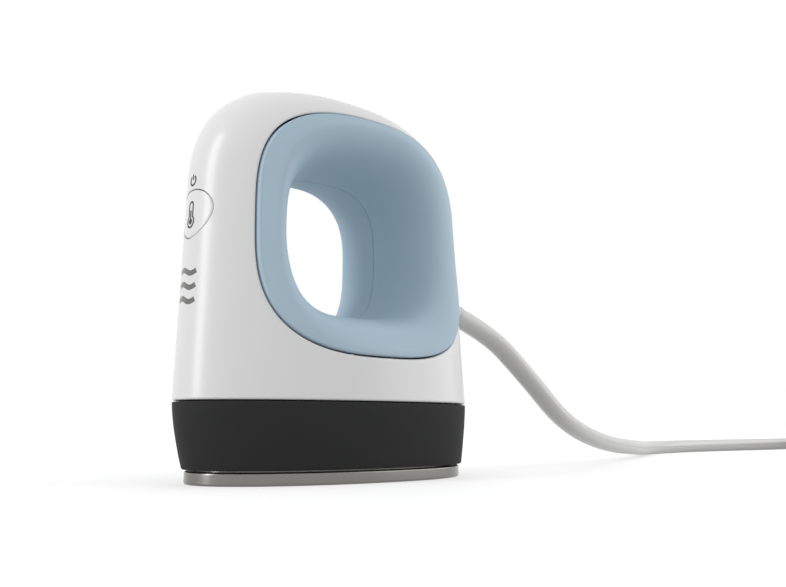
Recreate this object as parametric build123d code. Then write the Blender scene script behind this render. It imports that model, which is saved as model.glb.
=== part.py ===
from build123d import *
import os
from math import cos, sin, tan, radians, pi

os.makedirs("parts", exist_ok=True)

# Mini handheld heat press, in millimetres. Z is up and the hot face lies on Z = 0. The nose, with its
# button and lights, points to -X; the cord leaves the rear at +X. The press is symmetric about Y = 0.

# ---- body ----
body_height = 105.7
body_length = 88.5
body_width = 52.8
widest_share = 0.6            # the body is widest at this share of its length, counted from the nose
nose_power = 2.0              # superellipse powers of the plan outline, ahead of and behind that place
rear_power = 2.4
nose_lean = 0.0296            # how far each side draws in for each millimetre of height
rear_lean = 0.0825
side_lean = 0.0281
crown_x = -10.35              # X of the highest point
nose_crown_start, nose_crown_power = 74.4, 2.57
rear_crown_start, rear_crown_power = 73.4, 2.37
side_crown_start, side_crown_power = 83.4, 2.72
shell_wall = 2.0

# ---- hot plate and skirt ----
plate_length = 82.5
plate_width = 48.8
plate_centre_x = 0.9
plate_edge_height = 3.2
plate_edge_round = 0.5
plate_pad_height = 3.3        # raised back of the plate, which carries the element
plate_pad_inset = 3.0
plate_gap = 0.4
skirt_overhang = 0.7          # how far the skirt's lower edge stands out past the plate
skirt_height = 16.5
skirt_bulge = 1.5             # 1 is a straight flare; more rounds it outwards
skirt_levels = 7
skirt_wall = 2.2
deck_thickness = 3.0
seam_gap = 0.3                # open line between the skirt and the shell
register_height = 2.6         # lip of the skirt that centres the shell
register_wall = 1.6
register_root = 0.5           # how far the lip starts below the deck's face
deck_skin = 0.8               # of the deck left below a case screw's hole
fit_clearance = 0.15
contact_clearance = 0.05
cut_overrun = 1.0             # how far a cutting shape runs on past what it cuts
screw_tip_room = 0.4          # between a screw's tip and the end of its hole

# ---- heating ----
element_diameter = 5.0
element_leg_y = 7.0
element_front_x = -27.6
element_rear_x = 23.0
element_bend_radius = 6.0
element_rise = 1.4            # of its ends above the deck
element_pin_diameter = 2.4
element_pin_length = 3.5
insulation_clearance = 1.0
shield_thickness = 0.6
standoff_diameter = 6.6
standoff_front_x = -14.0
standoff_rear_x = 24.0
standoff_y = 14.0
plate_boss_diameter = 7.6
plate_boss_height = 1.5
plate_screw_diameter = 3.0
plate_screw_depth = 4.0
screw_head_share = 1.85       # head diameter over shank diameter, for every screw
screw_head_height = 0.62      # head height over shank diameter
screw_recess_share = 0.8      # width of the driver's recess over shank diameter
screw_recess_floor = 0.45     # of the head's height that the recess leaves
sensor_x = -3.0
sensor_size = (5.0, 4.0, 2.0)
sensor_round = 0.6
fuse_x = 9.0
fuse_diameter = 4.0
fuse_length = 10.0
fuse_lead_front, fuse_lead_rear = 2.2, 3.0   # from the fuse's ends to where its leads rise
lead_slot_width = 3.0         # of the slot through clip, pad, shield and deck that the thin leads rise in
lead_slot_margin = 1.4        # of the slot's ends past the leads
clip_sheet = 0.6
clip_width = 4.4
clip_foot_reach = 3.0         # ahead of the clip's screw
clip_riser_setback = 2.0      # ahead of the sensor
clip_strap_margin = 1.0       # by which the strap ends before the fuse does
clip_slot_margin = 0.4        # between the clip's slot and the fuse
clip_screw_room = 2.2         # hole in the insulation over the screw's head, over its shank diameter
clip_screw_x = -11.0
clip_screw_diameter = 2.4
clip_screw_depth = 2.4

# ---- case screws ----
case_screw_diameter = 2.6
case_boss_diameter = 6.4
case_boss_height = 3.1
case_tab_thickness = 2.0
case_front_x, case_front_y = -21.5, 11.0
case_rear_x, case_rear_y = 34.0, 9.0

# ---- grip and hand hole ----
grip_centre_x, grip_centre_z = 2.05, 63.7
grip_half_length, grip_half_height = 35.15, 32.3
grip_powers = (2.35, 3.6, 3.0, 2.75)    # upper rear, upper front, lower front, lower rear
hole_centre_x, hole_centre_z = -0.3, 63.8
hole_rear_reach, hole_top_reach = 17.8, 19.3
hole_front_reach, hole_bottom_reach = 20.5, 20.5
hole_powers = (2.8, 2.95, 3.9, 3.3)      # in the same order as the grip's
flare_powers = (2.8, 1.97, 1.56, 3.0)    # of the hole's flare at its rear, top, front and bottom
funnel_depth = 27.0           # from the middle plane to where the flare of the hole is flat
side_overrun = 6.0            # how far the cutting prisms run on past the funnel's mouth
grip_proud = 0.4
grip_line = 0.35              # open line between the grip and the shell
grip_wall = 2.2
grip_split = 0.1              # seam between the two halves, inside the hole
hook_reach = 1.4
hook_thickness = 1.4
hook_length = 8.0
dowel_diameter = 3.0
dowel_length = 12.0
dowel_socket_diameter = 6.0
dowel_end_room = 1.0          # past a dowel's end, and of the socket's end wall
dowel_turns = (52, 128, 232, 308)
hook_turns = (20, 90, 160, 205, 270, 312)
dowel_setback = 4.9           # from the edge of the hole to a dowel's axis

# ---- control button ----
button_centre_z = 67.4
button_half_width = 7.45
button_top_rise = 6.0         # from the widest level up to the top edge
button_tip_drop = 6.9         # and down to the tip
button_gap = 0.3
button_travel = 0.5
button_face = 1.6
button_rim_reach = 1.0
button_rim_thickness = 0.8
button_rim_clearance = 0.25
button_stem_diameter = 4.0
button_powers = (2.15, 1.72)  # superellipse powers above and below the widest level
nose_prism_depth, nose_prism_lead = 12.0, 4.0   # reach of the nose's cutting prisms, inwards and outwards

# ---- light windows ----
wave_levels = (52.1, 48.5, 44.9)
wave_half_width = 3.7
wave_stroke = 1.25
wave_rise = 0.55              # half the height of the wave
lens_clearance = 0.05
lens_flange_thickness = 1.0
lens_flange_margin = 1.6

# ---- circuit board ----
board_front_x = -35.0
board_thickness = 1.6
board_width = 16.0
board_room = 2.5              # that the nose's cutting prisms leave ahead of the board
board_bottom, board_top = 36.0, 83.0
board_screw_levels = (39.0, 79.5)
board_screw_diameter = 2.0
board_screw_depth = 3.6
board_boss_diameter = 4.8
switch_size = 6.0
switch_height = 3.0
switch_plunger_diameter = 3.4
plunger_running_clearance = 0.05
plunger_room = 0.4            # between the plunger and the switch's case when pressed, in front and behind
plunger_engagement = 0.6      # of the plunger inside the switch at rest
led_size = (1.6, 3.2, 1.6)
shroud_wall = 0.8
shroud_setback = 2.2          # from the lens to the shroud
shroud_led_room = 0.6         # beside each light

# ---- on the back of the board: depth, width and height of each, and the gaps between them ----
terminal_size = (8.4, 12.4, 6.5)
terminal_above_screw = 3.0
socket_size = (4.6, 6.4, 4.4)
socket_above_terminal = 1.0
relay_size = (8.5, 9.6, 10.0)
relay_centre_y = -2.4
relay_above_socket = 0.8
film_size = (6.0, 14.0, 3.5)
film_above_relay = 1.0
electrolytic_diameter, electrolytic_length = 4.0, 9.0
electrolytic_y = 4.6
chip_size = (1.5, 5.2, 4.2)
chip_above_film = 0.9

# ---- leads ----
lead_diameter = 2.2
thin_lead_diameter = 1.0
lead_bend_radius = 1.5
sensor_lead_bend_radius = 2.0
fuse_lead_bend_radius = 1.2
lead_y = 4.0                  # where the mains and heater leads enter the terminal block
sensor_lead_y = 0.75
fuse_lead_y, fuse_fan_x = 2.3, -10.0
lead_rise = 4.0               # straight part of a heater lead at either end
mains_lead_spread = 1.5       # of the two mains leads where they leave the sheath
mains_lead_run = 2.8          # from there to their first bend
mains_entry, fuse_entry, heater_entry = 2.2, 4.0, 5.8   # depths behind the board at the terminal block
sensor_rise = 9.8             # depth behind the board where the sensor's leads rise
mains_lead_height = 3.6       # above the case screws' seats
thin_lead_height = 4.0        # above the deck
fuse_above_sensor = 2.2       # between the levels of the fuse's and the sensor's leads

# ---- mains cord ----
cord_diameter = 6.5
exit_z = 53.0                 # where the cord's axis leaves the rear wall
exit_tilt = 12.9              # degrees below level
relief_hole_diameter = 9.4
relief_tip_diameter = 7.9
relief_outside = 12.0
relief_taper_start = 1.2      # outside the wall
relief_flange_diameter = 12.6
relief_flange_thickness = 2.6
relief_seat = 2.5             # from the wall's inner face to the flange, room for the wall's lean
relief_sleeve_length = 1.2
relief_sleeve_diameter = 9.0
clamp_length = 6.0
clamp_width = 19.0
clamp_bar_thickness = 3.4
clamp_inner = 8.5             # from the rear wall's face to the clamp's near side, along the cord
clamp_screw_diameter = 2.4
clamp_screw_y = 6.6
clamp_shelf_drop = 8.4
clamp_shelf_thickness = 2.2
clamp_split = 1.0
clamp_screw_depth = 7.8       # of each screw's tip below the cord's axis
cord_inner_length = 15.5      # of cord kept inside the wall

coil_centre_x, coil_centre_y = 393.0, -21.0
coil_middle_diameter = 74.9
coil_section_width = 26.0
coil_section_height = 13.1
coil_section_round = 4.0
tie_width = 12.0
tie_thickness = 0.8
tie_angle = 60.0              # place of the tie round the coil, in degrees

plug_x, plug_y = 292.0, -52.0   # middle of the plug's rear face; its pins point to -X
plug_length = 36.0
plug_width = 35.0
plug_rear_width = 18.2
plug_shoulder_width = 30.1
plug_shoulder_share = 0.55    # place of the shoulder between the plug's rear and front faces
plug_thickness = 13.8
plug_rounds = (4.5, 5.0, 6.0)   # corner radii at its rear face, shoulder and front face
plug_neck_length = 22.0
plug_neck_start, plug_neck_end = 7.9, 11.0   # diameters of the neck
pin_diameter = 4.0
pin_length = 19.0
pin_spacing = 18.6

# ---- levels worked out from the sizes above ----
cord_radius = cord_diameter / 2
skirt_bottom = plate_edge_height + plate_gap
skirt_top = skirt_bottom + skirt_height
deck_bottom = skirt_top - deck_thickness
shell_bottom = skirt_top + seam_gap
pad_top = plate_edge_height + plate_pad_height
plate_boss_top = pad_top + plate_boss_height
element_axis_z = pad_top + contact_clearance
element_end_z = skirt_top + element_rise
element_top = element_axis_z + element_diameter / 2
shield_bottom = deck_bottom - shield_thickness
board_back_x = board_front_x + board_thickness
nose_base = -body_length / 2
rear_base = body_length / 2
half_width_base = body_width / 2


# ---- shapes shared by several pieces ----
def superellipse(angle, power):
    # A point of the unit superellipse in the direction of angle.
    reach = (abs(cos(angle)) ** power + abs(sin(angle)) ** power) ** (-1 / power)
    return cos(angle) * reach, sin(angle) * reach


def closed_face(points):
    return Face(Wire([Spline(*points, periodic=True)]))


def plan_points(nose, rear, half_width, z, count=28):
    # Egg-shaped outline at height z, from nose to rear.
    widest_x = nose + widest_share * (rear - nose)
    points = []
    for index in range(count):
        angle = 2 * pi * index / count
        ahead = cos(angle) < 0
        x, y = superellipse(angle, nose_power if ahead else rear_power)
        half_length = widest_x - nose if ahead else rear - widest_x
        points.append((widest_x + x * half_length, y * half_width, z))
    return points


def crown(z, start, top, power):
    rise = min(max((z - start) / (top - start), 0), 1)
    return (1 - rise ** power) ** (1 / power)


def body_extent(z, inset=0):
    # Nose, rear and half width of the body at height z, drawn in by inset.
    top = body_height - inset
    climb = z - shell_bottom
    nose = nose_base + nose_lean * climb + inset
    rear = rear_base - rear_lean * climb - inset
    half_width = half_width_base - side_lean * climb - inset
    nose = crown_x + (nose - crown_x) * crown(z, nose_crown_start, top, nose_crown_power)
    rear = crown_x + (rear - crown_x) * crown(z, rear_crown_start, top, rear_crown_power)
    return nose, rear, half_width * crown(z, side_crown_start, top, side_crown_power)


def body_solid(inset=0, bottom=shell_bottom):
    # The body's outer shape, drawn in by inset, closed by a tiny flat at the top. Its sides are straight up
    # to the crown, whose levels close up towards the top.
    crown_height = body_height - inset - rear_crown_start
    levels = [bottom] + [rear_crown_start + crown_height * sin(radians(slope)) for slope in range(0, 90, 7)]
    sections = [closed_face(plan_points(*body_extent(z, inset), z)).outer_wire() for z in levels]
    return Solid.make_loft(sections, ruled=True)


def plate_prism(inset, bottom, top):
    # Upright prism on the hot plate's outline, drawn in by inset.
    half_length, half_width = plate_length / 2 - inset, plate_width / 2 - inset
    outline = plan_points(plate_centre_x - half_length, plate_centre_x + half_length, half_width, bottom)
    return extrude(closed_face(outline), amount=top - bottom, dir=(0, 0, 1))


def quarter_power(powers, angle):
    return powers[int(angle // (pi / 2)) % 4]


def grip_point(angle, grow=0):
    x, z = superellipse(angle, quarter_power(grip_powers, angle))
    return grip_centre_x + x * (grip_half_length + grow), grip_centre_z + z * (grip_half_height + grow)


def hole_point(angle, grow=0):
    x, z = superellipse(angle, quarter_power(hole_powers, angle))
    along = hole_rear_reach if x > 0 else hole_front_reach
    upright = hole_top_reach if z > 0 else hole_bottom_reach
    return hole_centre_x + x * (along + grow), hole_centre_z + z * (upright + grow)


def flare_share(angle, depth_share):
    # How far the hand hole has flared at a share of its depth: 0 at its middle, 1 at its mouth.
    rear, top, front, bottom = flare_powers
    level = (rear if cos(angle) > 0 else front) * cos(angle) ** 2
    upright = (top if sin(angle) > 0 else bottom) * sin(angle) ** 2
    power = level + upright
    return 1 - (1 - depth_share ** power) ** (1 / power)


def side_face(point_at, y, count=32):
    angles = [2 * pi * (index + 0.5) / count for index in range(count)]
    return closed_face([(x, y, z) for x, z in (point_at(angle) for angle in angles)])


def grip_prism(grow, start=0.0, end=funnel_depth + side_overrun):
    return extrude(side_face(lambda angle: grip_point(angle, grow), start), amount=end - start, dir=(0, 1, 0))


def funnel(grow=0):
    # Space of the hand hole on the +Y side: it flares from the hole at Y = 0 to the grip's outline.
    sections = []
    for slope in range(90, -1, -10):
        depth_share = sin(radians(slope))

        def flared(angle):
            inner, outer = hole_point(angle, grow), grip_point(angle, grow)
            flare = flare_share(angle, depth_share)
            return tuple(inner[i] + flare * (outer[i] - inner[i]) for i in range(2))

        sections.append(side_face(flared, funnel_depth * depth_share).outer_wire())
    mouth_face = side_face(lambda angle: grip_point(angle, grow), funnel_depth)
    mouth = extrude(mouth_face, amount=side_overrun, dir=(0, 1, 0))
    return Solid.make_loft(sections, ruled=True) + mouth


def rod(start, end, diameter):
    start, end = Vector(*start), Vector(*end)
    axis = Plane(origin=start, z_dir=end - start)
    return extrude(axis * Circle(diameter / 2), amount=(end - start).length)


def block(low, high):
    size = [high[i] - low[i] for i in range(3)]
    middle = [(high[i] + low[i]) / 2 for i in range(3)]
    return Pos(*middle) * Box(*size)


def screw(seat, tip, diameter):
    # Pan-head screw: seat is where the head bears, tip is the end of the shank.
    seat, tip = Vector(*seat), Vector(*tip)
    away = (seat - tip).normalized()
    head_height = screw_head_height * diameter
    head = rod(tuple(seat), tuple(seat + away * head_height), diameter * screw_head_share)
    recess_floor = seat + away * head_height * screw_recess_floor
    recess_end = seat + away * (head_height + cut_overrun)
    recess = rod(tuple(recess_floor), tuple(recess_end), diameter * screw_recess_share)
    return rod(tuple(tip), tuple(seat), diameter) + head - recess


def wire(points, diameter, bend_radius):
    path = FilletPolyline(*points, radius=bend_radius)
    start = Plane(origin=path @ 0, z_dir=path % 0)
    return sweep(start * Circle(diameter / 2), path=path)


def mirrored(solid):
    return mirror(solid, about=Plane.XZ)


def save(name, *solids):
    pieces = [piece for solid in solids for piece in solid.solids()]
    export_step(pieces[0] if len(pieces) == 1 else Compound(children=pieces), f"parts/{name}.step")


# ---- hot plate, element, sensor and fuse ----
element_path = FilletPolyline(
    (element_front_x, element_leg_y, element_end_z),
    (element_front_x, element_leg_y, element_axis_z),
    (element_rear_x, element_leg_y, element_axis_z),
    (element_rear_x, -element_leg_y, element_axis_z),
    (element_front_x, -element_leg_y, element_axis_z),
    (element_front_x, -element_leg_y, element_end_z),
    radius=element_bend_radius,
)
element_ends = [(element_front_x, side * element_leg_y, element_end_z) for side in (1, -1)]
element_start = Plane(origin=element_path @ 0, z_dir=element_path % 0)


def element_tube(diameter):
    return sweep(element_start * Circle(diameter / 2), path=element_path)


standoff_places = [(x, side * standoff_y) for x in (standoff_front_x, standoff_rear_x) for side in (1, -1)]

plate_edge = plate_prism(0, 0, plate_edge_height)
plate_rims = plate_edge.edges().filter_by(GeomType.LINE, reverse=True)
heat_plate = fillet(plate_rims, plate_edge_round) + plate_prism(plate_pad_inset, plate_edge_height, pad_top)
for x, y in standoff_places:
    heat_plate += rod((x, y, pad_top), (x, y, plate_boss_top), plate_boss_diameter)
    screw_bottom = plate_boss_top - plate_screw_depth
    heat_plate -= rod((x, y, screw_bottom), (x, y, plate_boss_top), plate_screw_diameter)
heat_plate -= element_tube(element_diameter + 2 * contact_clearance)
fuse_start, fuse_end = (fuse_x - fuse_length / 2, 0, pad_top), (fuse_x + fuse_length / 2, 0, pad_top)
heat_plate -= rod(fuse_start, fuse_end, fuse_diameter + 2 * contact_clearance)
fuse_lead_places = (fuse_start[0] - fuse_lead_front, fuse_end[0] + fuse_lead_rear)
lead_groove = [
    (fuse_lead_places[0] - cut_overrun, 0, pad_top),
    (fuse_lead_places[1] + cut_overrun, 0, pad_top),
]
half_slot = lead_slot_width / 2
heat_plate -= rod(*lead_groove, thin_lead_diameter + 2 * fit_clearance)
clip_screw_seat = (clip_screw_x, 0, pad_top + clip_sheet)
clip_screw_tip = (clip_screw_x, 0, pad_top - clip_screw_depth)
heat_plate -= rod(clip_screw_tip, clip_screw_seat, clip_screw_diameter)
save("heat_plate", heat_plate)

heating_element = element_tube(element_diameter)
for x, y, z in element_ends:
    heating_element += rod((x, y, z), (x, y, z + element_pin_length), element_pin_diameter)
save("heating_element", heating_element)

sensor_top = pad_top + sensor_size[2]
temperature_sensor = block(
    (sensor_x - sensor_size[0] / 2, -sensor_size[1] / 2, pad_top),
    (sensor_x + sensor_size[0] / 2, sensor_size[1] / 2, sensor_top),
)
save("temperature_sensor", fillet(temperature_sensor.edges().filter_by(Axis.Z), sensor_round))
thermal_fuse = rod(
    (fuse_start[0] + contact_clearance, 0, pad_top),
    (fuse_end[0] - contact_clearance, 0, pad_top),
    fuse_diameter,
)
save("thermal_fuse", thermal_fuse)

clip_top = sensor_top + clip_sheet
clip_riser_x = sensor_x - sensor_size[0] / 2 - clip_riser_setback
clip_foot = block((clip_screw_x - clip_foot_reach, -clip_width / 2, pad_top),
                  (clip_riser_x, clip_width / 2, pad_top + clip_sheet))
clip_riser = block((clip_riser_x - clip_sheet, -clip_width / 2, pad_top),
                   (clip_riser_x, clip_width / 2, clip_top))
clip_strap = block((clip_riser_x - clip_sheet, -clip_width / 2, sensor_top),
                   (fuse_end[0] - clip_strap_margin, clip_width / 2, clip_top))
clip_slot = block((sensor_x - lead_slot_margin, -half_slot, sensor_top - cut_overrun),
                  (fuse_start[0] - clip_slot_margin, half_slot, clip_top + cut_overrun))
clip_hole = rod(clip_screw_tip, (clip_screw_x, 0, clip_top), clip_screw_diameter + 2 * fit_clearance)
save("sensor_clip", clip_foot + clip_riser + clip_strap - clip_slot - clip_hole)
save("clip_screw", screw(clip_screw_seat, clip_screw_tip, clip_screw_diameter - 2 * contact_clearance))

# ---- insulation between the plate and the deck ----
insulation_bottom = max(clip_top, element_top) + contact_clearance
lead_slot = (sensor_x - lead_slot_margin, fuse_lead_places[1] + lead_slot_margin)
clip_screw_top = pad_top + clip_sheet + screw_head_height * clip_screw_diameter + cut_overrun


def insulation_layer(bottom, top):
    layer = plate_prism(skirt_wall + insulation_clearance, bottom, top)
    for x, y in standoff_places:
        layer -= rod((x, y, bottom), (x, y, top), standoff_diameter + 2 * fit_clearance)
    for x, y, z in element_ends:
        layer -= rod((x, y, bottom), (x, y, top), element_diameter + 2 * fit_clearance)
    layer -= block((lead_slot[0], -half_slot, bottom), (lead_slot[1], half_slot, top))
    room_diameter = clip_screw_diameter * clip_screw_room
    layer -= rod((clip_screw_x, 0, bottom), (clip_screw_x, 0, clip_screw_top), room_diameter)
    return layer


insulation_pad = insulation_layer(insulation_bottom, shield_bottom)
half_pocket = element_diameter / 2 + fit_clearance
for x, y, z in element_ends:
    insulation_pad -= block((x, y - half_pocket, insulation_bottom),
                            (x + element_bend_radius, y + half_pocket, element_axis_z + element_bend_radius))
save("insulation_pad", insulation_pad)
save("heat_shield", insulation_layer(shield_bottom, deck_bottom))
standoffs = [
    rod((x, y, plate_boss_top), (x, y, deck_bottom), standoff_diameter)
    - rod((x, y, plate_boss_top), (x, y, deck_bottom), plate_screw_diameter + 2 * fit_clearance)
    for x, y in standoff_places
]
save("plate_standoffs", *standoffs)
plate_screw_tip = plate_boss_top - plate_screw_depth + screw_tip_room
save("plate_screws", *[
    screw((x, y, skirt_top), (x, y, plate_screw_tip), plate_screw_diameter - 2 * contact_clearance)
    for x, y in standoff_places
])

# ---- skirt with its deck ----
skirt_half_length = plate_length / 2 + skirt_overhang
skirt_half_width = plate_width / 2 + skirt_overhang


def skirt_solid(inset, bottom, top):
    # Flared solid between the skirt's lower edge and the shell's foot, drawn in by inset.
    wires = []
    for level in range(skirt_levels + 1):
        z = bottom + (top - bottom) * level / skirt_levels
        share = 1 - max(1 - (z - skirt_bottom) / skirt_height, 0) ** skirt_bulge
        nose = (plate_centre_x - skirt_half_length) * (1 - share) + nose_base * share + inset
        rear = (plate_centre_x + skirt_half_length) * (1 - share) + rear_base * share - inset
        half_width = skirt_half_width * (1 - share) + half_width_base * share - inset
        wires.append(closed_face(plan_points(nose, rear, half_width, z)).outer_wire())
    return Solid.make_loft(wires, ruled=True)


def register_solid(inset):
    wires = []
    for z in (skirt_top - register_root, skirt_top + register_height):
        nose, rear, half_width = body_extent(z, inset)
        wires.append(closed_face(plan_points(nose, rear, half_width, z)).outer_wire())
    return Solid.make_loft(wires, ruled=True)


case_places = [(case_front_x, case_front_y), (case_rear_x, case_rear_y)]
case_places += [(x, -y) for x, y in case_places]
case_boss_top = skirt_top + case_boss_height

skirt = skirt_solid(0, skirt_bottom, skirt_top) - skirt_solid(skirt_wall, skirt_bottom, deck_bottom)
register_inset = shell_wall + fit_clearance
skirt += register_solid(register_inset) - register_solid(register_inset + register_wall)
for x, y in case_places:
    skirt += rod((x, y, skirt_top - register_root), (x, y, case_boss_top), case_boss_diameter)
    skirt -= rod((x, y, deck_bottom + deck_skin), (x, y, case_boss_top), case_screw_diameter)
for x, y in standoff_places:
    skirt -= rod((x, y, deck_bottom), (x, y, skirt_top), plate_screw_diameter + 2 * fit_clearance)
for x, y, z in element_ends:
    skirt -= rod((x, y, deck_bottom), (x, y, skirt_top), element_diameter + 4 * fit_clearance)
skirt -= block((lead_slot[0], -half_slot, deck_bottom), (lead_slot[1], half_slot, skirt_top))
save("skirt", skirt)

case_screw_seat_z = case_boss_top + case_tab_thickness
case_screw_tip_z = deck_bottom + deck_skin + screw_tip_room
save("case_screws", *[
    screw((x, y, case_screw_seat_z), (x, y, case_screw_tip_z), case_screw_diameter - 2 * contact_clearance)
    for x, y in case_places
])

# ---- cord exit frame: local X runs out along the cord from the rear wall ----
exit_x = body_extent(exit_z)[1]
exit_frame = Pos(exit_x, 0, exit_z) * Rot(0, exit_tilt, 0)


def exit_point(along, across=0.0, above=0.0):
    return tuple((exit_frame * Pos(along, across, above)).position)


def exit_block(low, high):
    return exit_frame * block(low, high)


def exit_rod(start, end, diameter):
    return rod(exit_point(start), exit_point(end), diameter)


# ---- outlines of the button and the light windows, as prisms along X through the nose ----
prism_back_x = nose_base + nose_prism_depth
prism_front_x = nose_base - nose_prism_lead


def nose_prism(face, back_x=prism_back_x):
    return extrude(face, amount=back_x - prism_front_x, dir=(1, 0, 0))


def button_face_outline(grow):
    # Rounded pick shape: a shallow arch above the widest level and a rounded tip below it.
    half_width = button_half_width + grow
    rise, drop = button_top_rise + grow, button_tip_drop + grow
    points = []
    for index in range(24):
        angle = 2 * pi * (index + 0.5) / 24
        upper = sin(angle) > 0
        y, z = superellipse(angle, button_powers[0] if upper else button_powers[1])
        points.append((prism_front_x, y * half_width, button_centre_z + z * (rise if upper else drop)))
    return closed_face(points)


def wave_outline(level, grow):
    # One S-shaped stroke with rounded ends, cut square across.
    half_width, half_stroke = wave_half_width + grow, wave_stroke / 2 + grow
    stations = [half_width * (2 * index / 8 - 1) for index in range(9)]

    def edge(offset):
        heights = [level + wave_rise * sin(pi * y / wave_half_width) + offset for y in stations]
        return [(prism_front_x, y, z) for y, z in zip(stations, heights)]

    upper, lower = edge(half_stroke), edge(-half_stroke)
    sides = [Line(upper[0], lower[0]), Line(upper[-1], lower[-1])]
    return Face(Wire([Spline(*upper), Spline(*lower)] + sides))


# ---- shell ----
outer_body = body_solid()
inner_body = body_solid(shell_wall, shell_bottom - cut_overrun)
tab_body = body_solid(shell_wall / 2)
shell_opening = grip_prism(0)

main_shell = outer_body - inner_body - shell_opening - mirrored(shell_opening)
for x, y in case_places:
    side = 1 if y > 0 else -1
    near, far = side * (abs(y) - case_boss_diameter / 2), side * half_width_base
    tab = block((x - case_boss_diameter / 2, min(near, far), case_boss_top),
                (x + case_boss_diameter / 2, max(near, far), case_screw_seat_z))
    main_shell += tab & tab_body
    tab_hole_diameter = case_screw_diameter + 2 * fit_clearance
    main_shell -= rod((x, y, case_boss_top), (x, y, case_screw_seat_z), tab_hole_diameter)
board_hole_start = board_front_x - board_screw_depth - screw_tip_room
for z in board_screw_levels:
    boss_start = body_extent(z)[0] + shell_wall / 2
    main_shell += rod((boss_start, 0, z), (board_front_x, 0, z), board_boss_diameter)
    main_shell -= rod((board_hole_start, 0, z), (board_front_x, 0, z), board_screw_diameter)
for level in wave_levels:
    main_shell -= nose_prism(wave_outline(level, lens_clearance), board_front_x - board_room)
main_shell -= nose_prism(button_face_outline(0), board_front_x - board_room)

relief_flange_end = -shell_wall - relief_seat
clamp_far = -clamp_inner
clamp_near = clamp_far - clamp_length
clamp_half = clamp_width / 2
shelf = exit_block((clamp_near, -clamp_half, -clamp_shelf_drop - clamp_shelf_thickness),
                   (0, clamp_half, -clamp_shelf_drop))
saddle = exit_block((clamp_near, -clamp_half, -clamp_shelf_drop - cut_overrun),
                    (clamp_far, clamp_half, -clamp_split / 2))
main_shell += (shelf + saddle) & tab_body
cord_bore_diameter = cord_diameter + 2 * contact_clearance
main_shell -= exit_rod(clamp_near - cut_overrun, clamp_far + cut_overrun, cord_bore_diameter)
clamp_middle = (clamp_near + clamp_far) / 2
clamp_screw_tip = -clamp_screw_depth
for side in (1, -1):
    y = side * clamp_screw_y
    clamp_hole_bottom = exit_point(clamp_middle, y, clamp_screw_tip - screw_tip_room)
    main_shell -= rod(clamp_hole_bottom, exit_point(clamp_middle, y, 0), clamp_screw_diameter)
wall_bore_diameter = relief_hole_diameter + 2 * contact_clearance
main_shell -= exit_rod(relief_flange_end, shell_wall + cut_overrun, wall_bore_diameter)
save("main_shell", main_shell)

# ---- cord clamp and strain relief ----
bar_top = cord_radius + clamp_bar_thickness
clamp_bar = exit_block((clamp_near, -clamp_half, clamp_split / 2), (clamp_far, clamp_half, bar_top))
clamp_bar -= exit_rod(clamp_near - cut_overrun, clamp_far + cut_overrun, cord_bore_diameter)
clamp_screws = []
for side in (1, -1):
    y = side * clamp_screw_y
    seat, tip = exit_point(clamp_middle, y, bar_top), exit_point(clamp_middle, y, clamp_screw_tip)
    clamp_bar -= rod(tip, seat, clamp_screw_diameter + 2 * fit_clearance)
    clamp_screws.append(screw(seat, tip, clamp_screw_diameter - 2 * contact_clearance))
save("cord_clamp", clamp_bar)
save("cord_clamp_screws", *clamp_screws)

relief_flange_start = relief_flange_end - relief_flange_thickness
relief_inner_end = relief_flange_start - relief_sleeve_length
relief_profile = [
    (relief_inner_end, 0), (relief_inner_end, relief_sleeve_diameter / 2),
    (relief_flange_start, relief_sleeve_diameter / 2), (relief_flange_start, relief_flange_diameter / 2),
    (relief_flange_end, relief_flange_diameter / 2), (relief_flange_end, relief_hole_diameter / 2),
    (relief_taper_start, relief_hole_diameter / 2), (relief_outside, relief_tip_diameter / 2),
    (relief_outside, 0),
]
strain_relief = revolve(Plane.XZ * make_face(Polyline(*relief_profile, close=True)), axis=Axis.X)
relief_bore = exit_rod(relief_inner_end - cut_overrun, relief_outside + cut_overrun, cord_bore_diameter)
strain_relief = exit_frame * strain_relief - relief_bore
save("strain_relief", strain_relief)

# ---- grip halves, hooked into the shell's side openings and pinned together round the hole ----
rim_depth = shell_wall + fit_clearance + hook_thickness
grip_outer = body_solid(-grip_proud)
rim_body = body_solid(rim_depth)
wall_body = body_solid(grip_wall - grip_proud)
hook_outer = body_solid(shell_wall + fit_clearance)

funnel_space = funnel()
funnel_lining = funnel(grip_wall)
grip_plug = grip_prism(-grip_line, grip_split / 2) & grip_outer
rim_core = grip_prism(-grip_line - grip_wall, -cut_overrun)
grip_right = grip_plug - wall_body + (grip_plug - rim_core - rim_body) + (funnel_lining & grip_plug)
grip_right -= funnel_space

hook_ring = (grip_prism(hook_reach, cut_overrun) - rim_core) & (hook_outer - rim_body)
for angle in (radians(turn) for turn in hook_turns):
    x, z = grip_point(angle)
    reach = hook_length / 2
    grip_right += hook_ring & block((x - reach, cut_overrun, z - reach), (x + reach, funnel_depth, z + reach))

dowel_places = []
for angle in (radians(turn) for turn in dowel_turns):
    x, z = hole_point(angle)
    ahead_x, ahead_z = hole_point(angle + 0.01)
    behind_x, behind_z = hole_point(angle - 0.01)
    along = Vector(ahead_x - behind_x, 0, ahead_z - behind_z).normalized()
    dowel_places.append((x + along.Z * dowel_setback, z - along.X * dowel_setback))
socket_depth = dowel_length / 2 + dowel_end_room
for x, z in dowel_places:
    socket = rod((x, grip_split / 2, z), (x, socket_depth + dowel_end_room, z), dowel_socket_diameter)
    grip_right += socket - funnel_space
    grip_right -= rod((x, 0, z), (x, socket_depth, z), dowel_diameter)
save("grip_right", grip_right)
save("grip_left", mirrored(grip_right))
save("grip_dowels", *[
    rod((x, -dowel_length / 2, z), (x, dowel_length / 2, z), dowel_diameter - 2 * contact_clearance)
    for x, z in dowel_places
])

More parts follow.
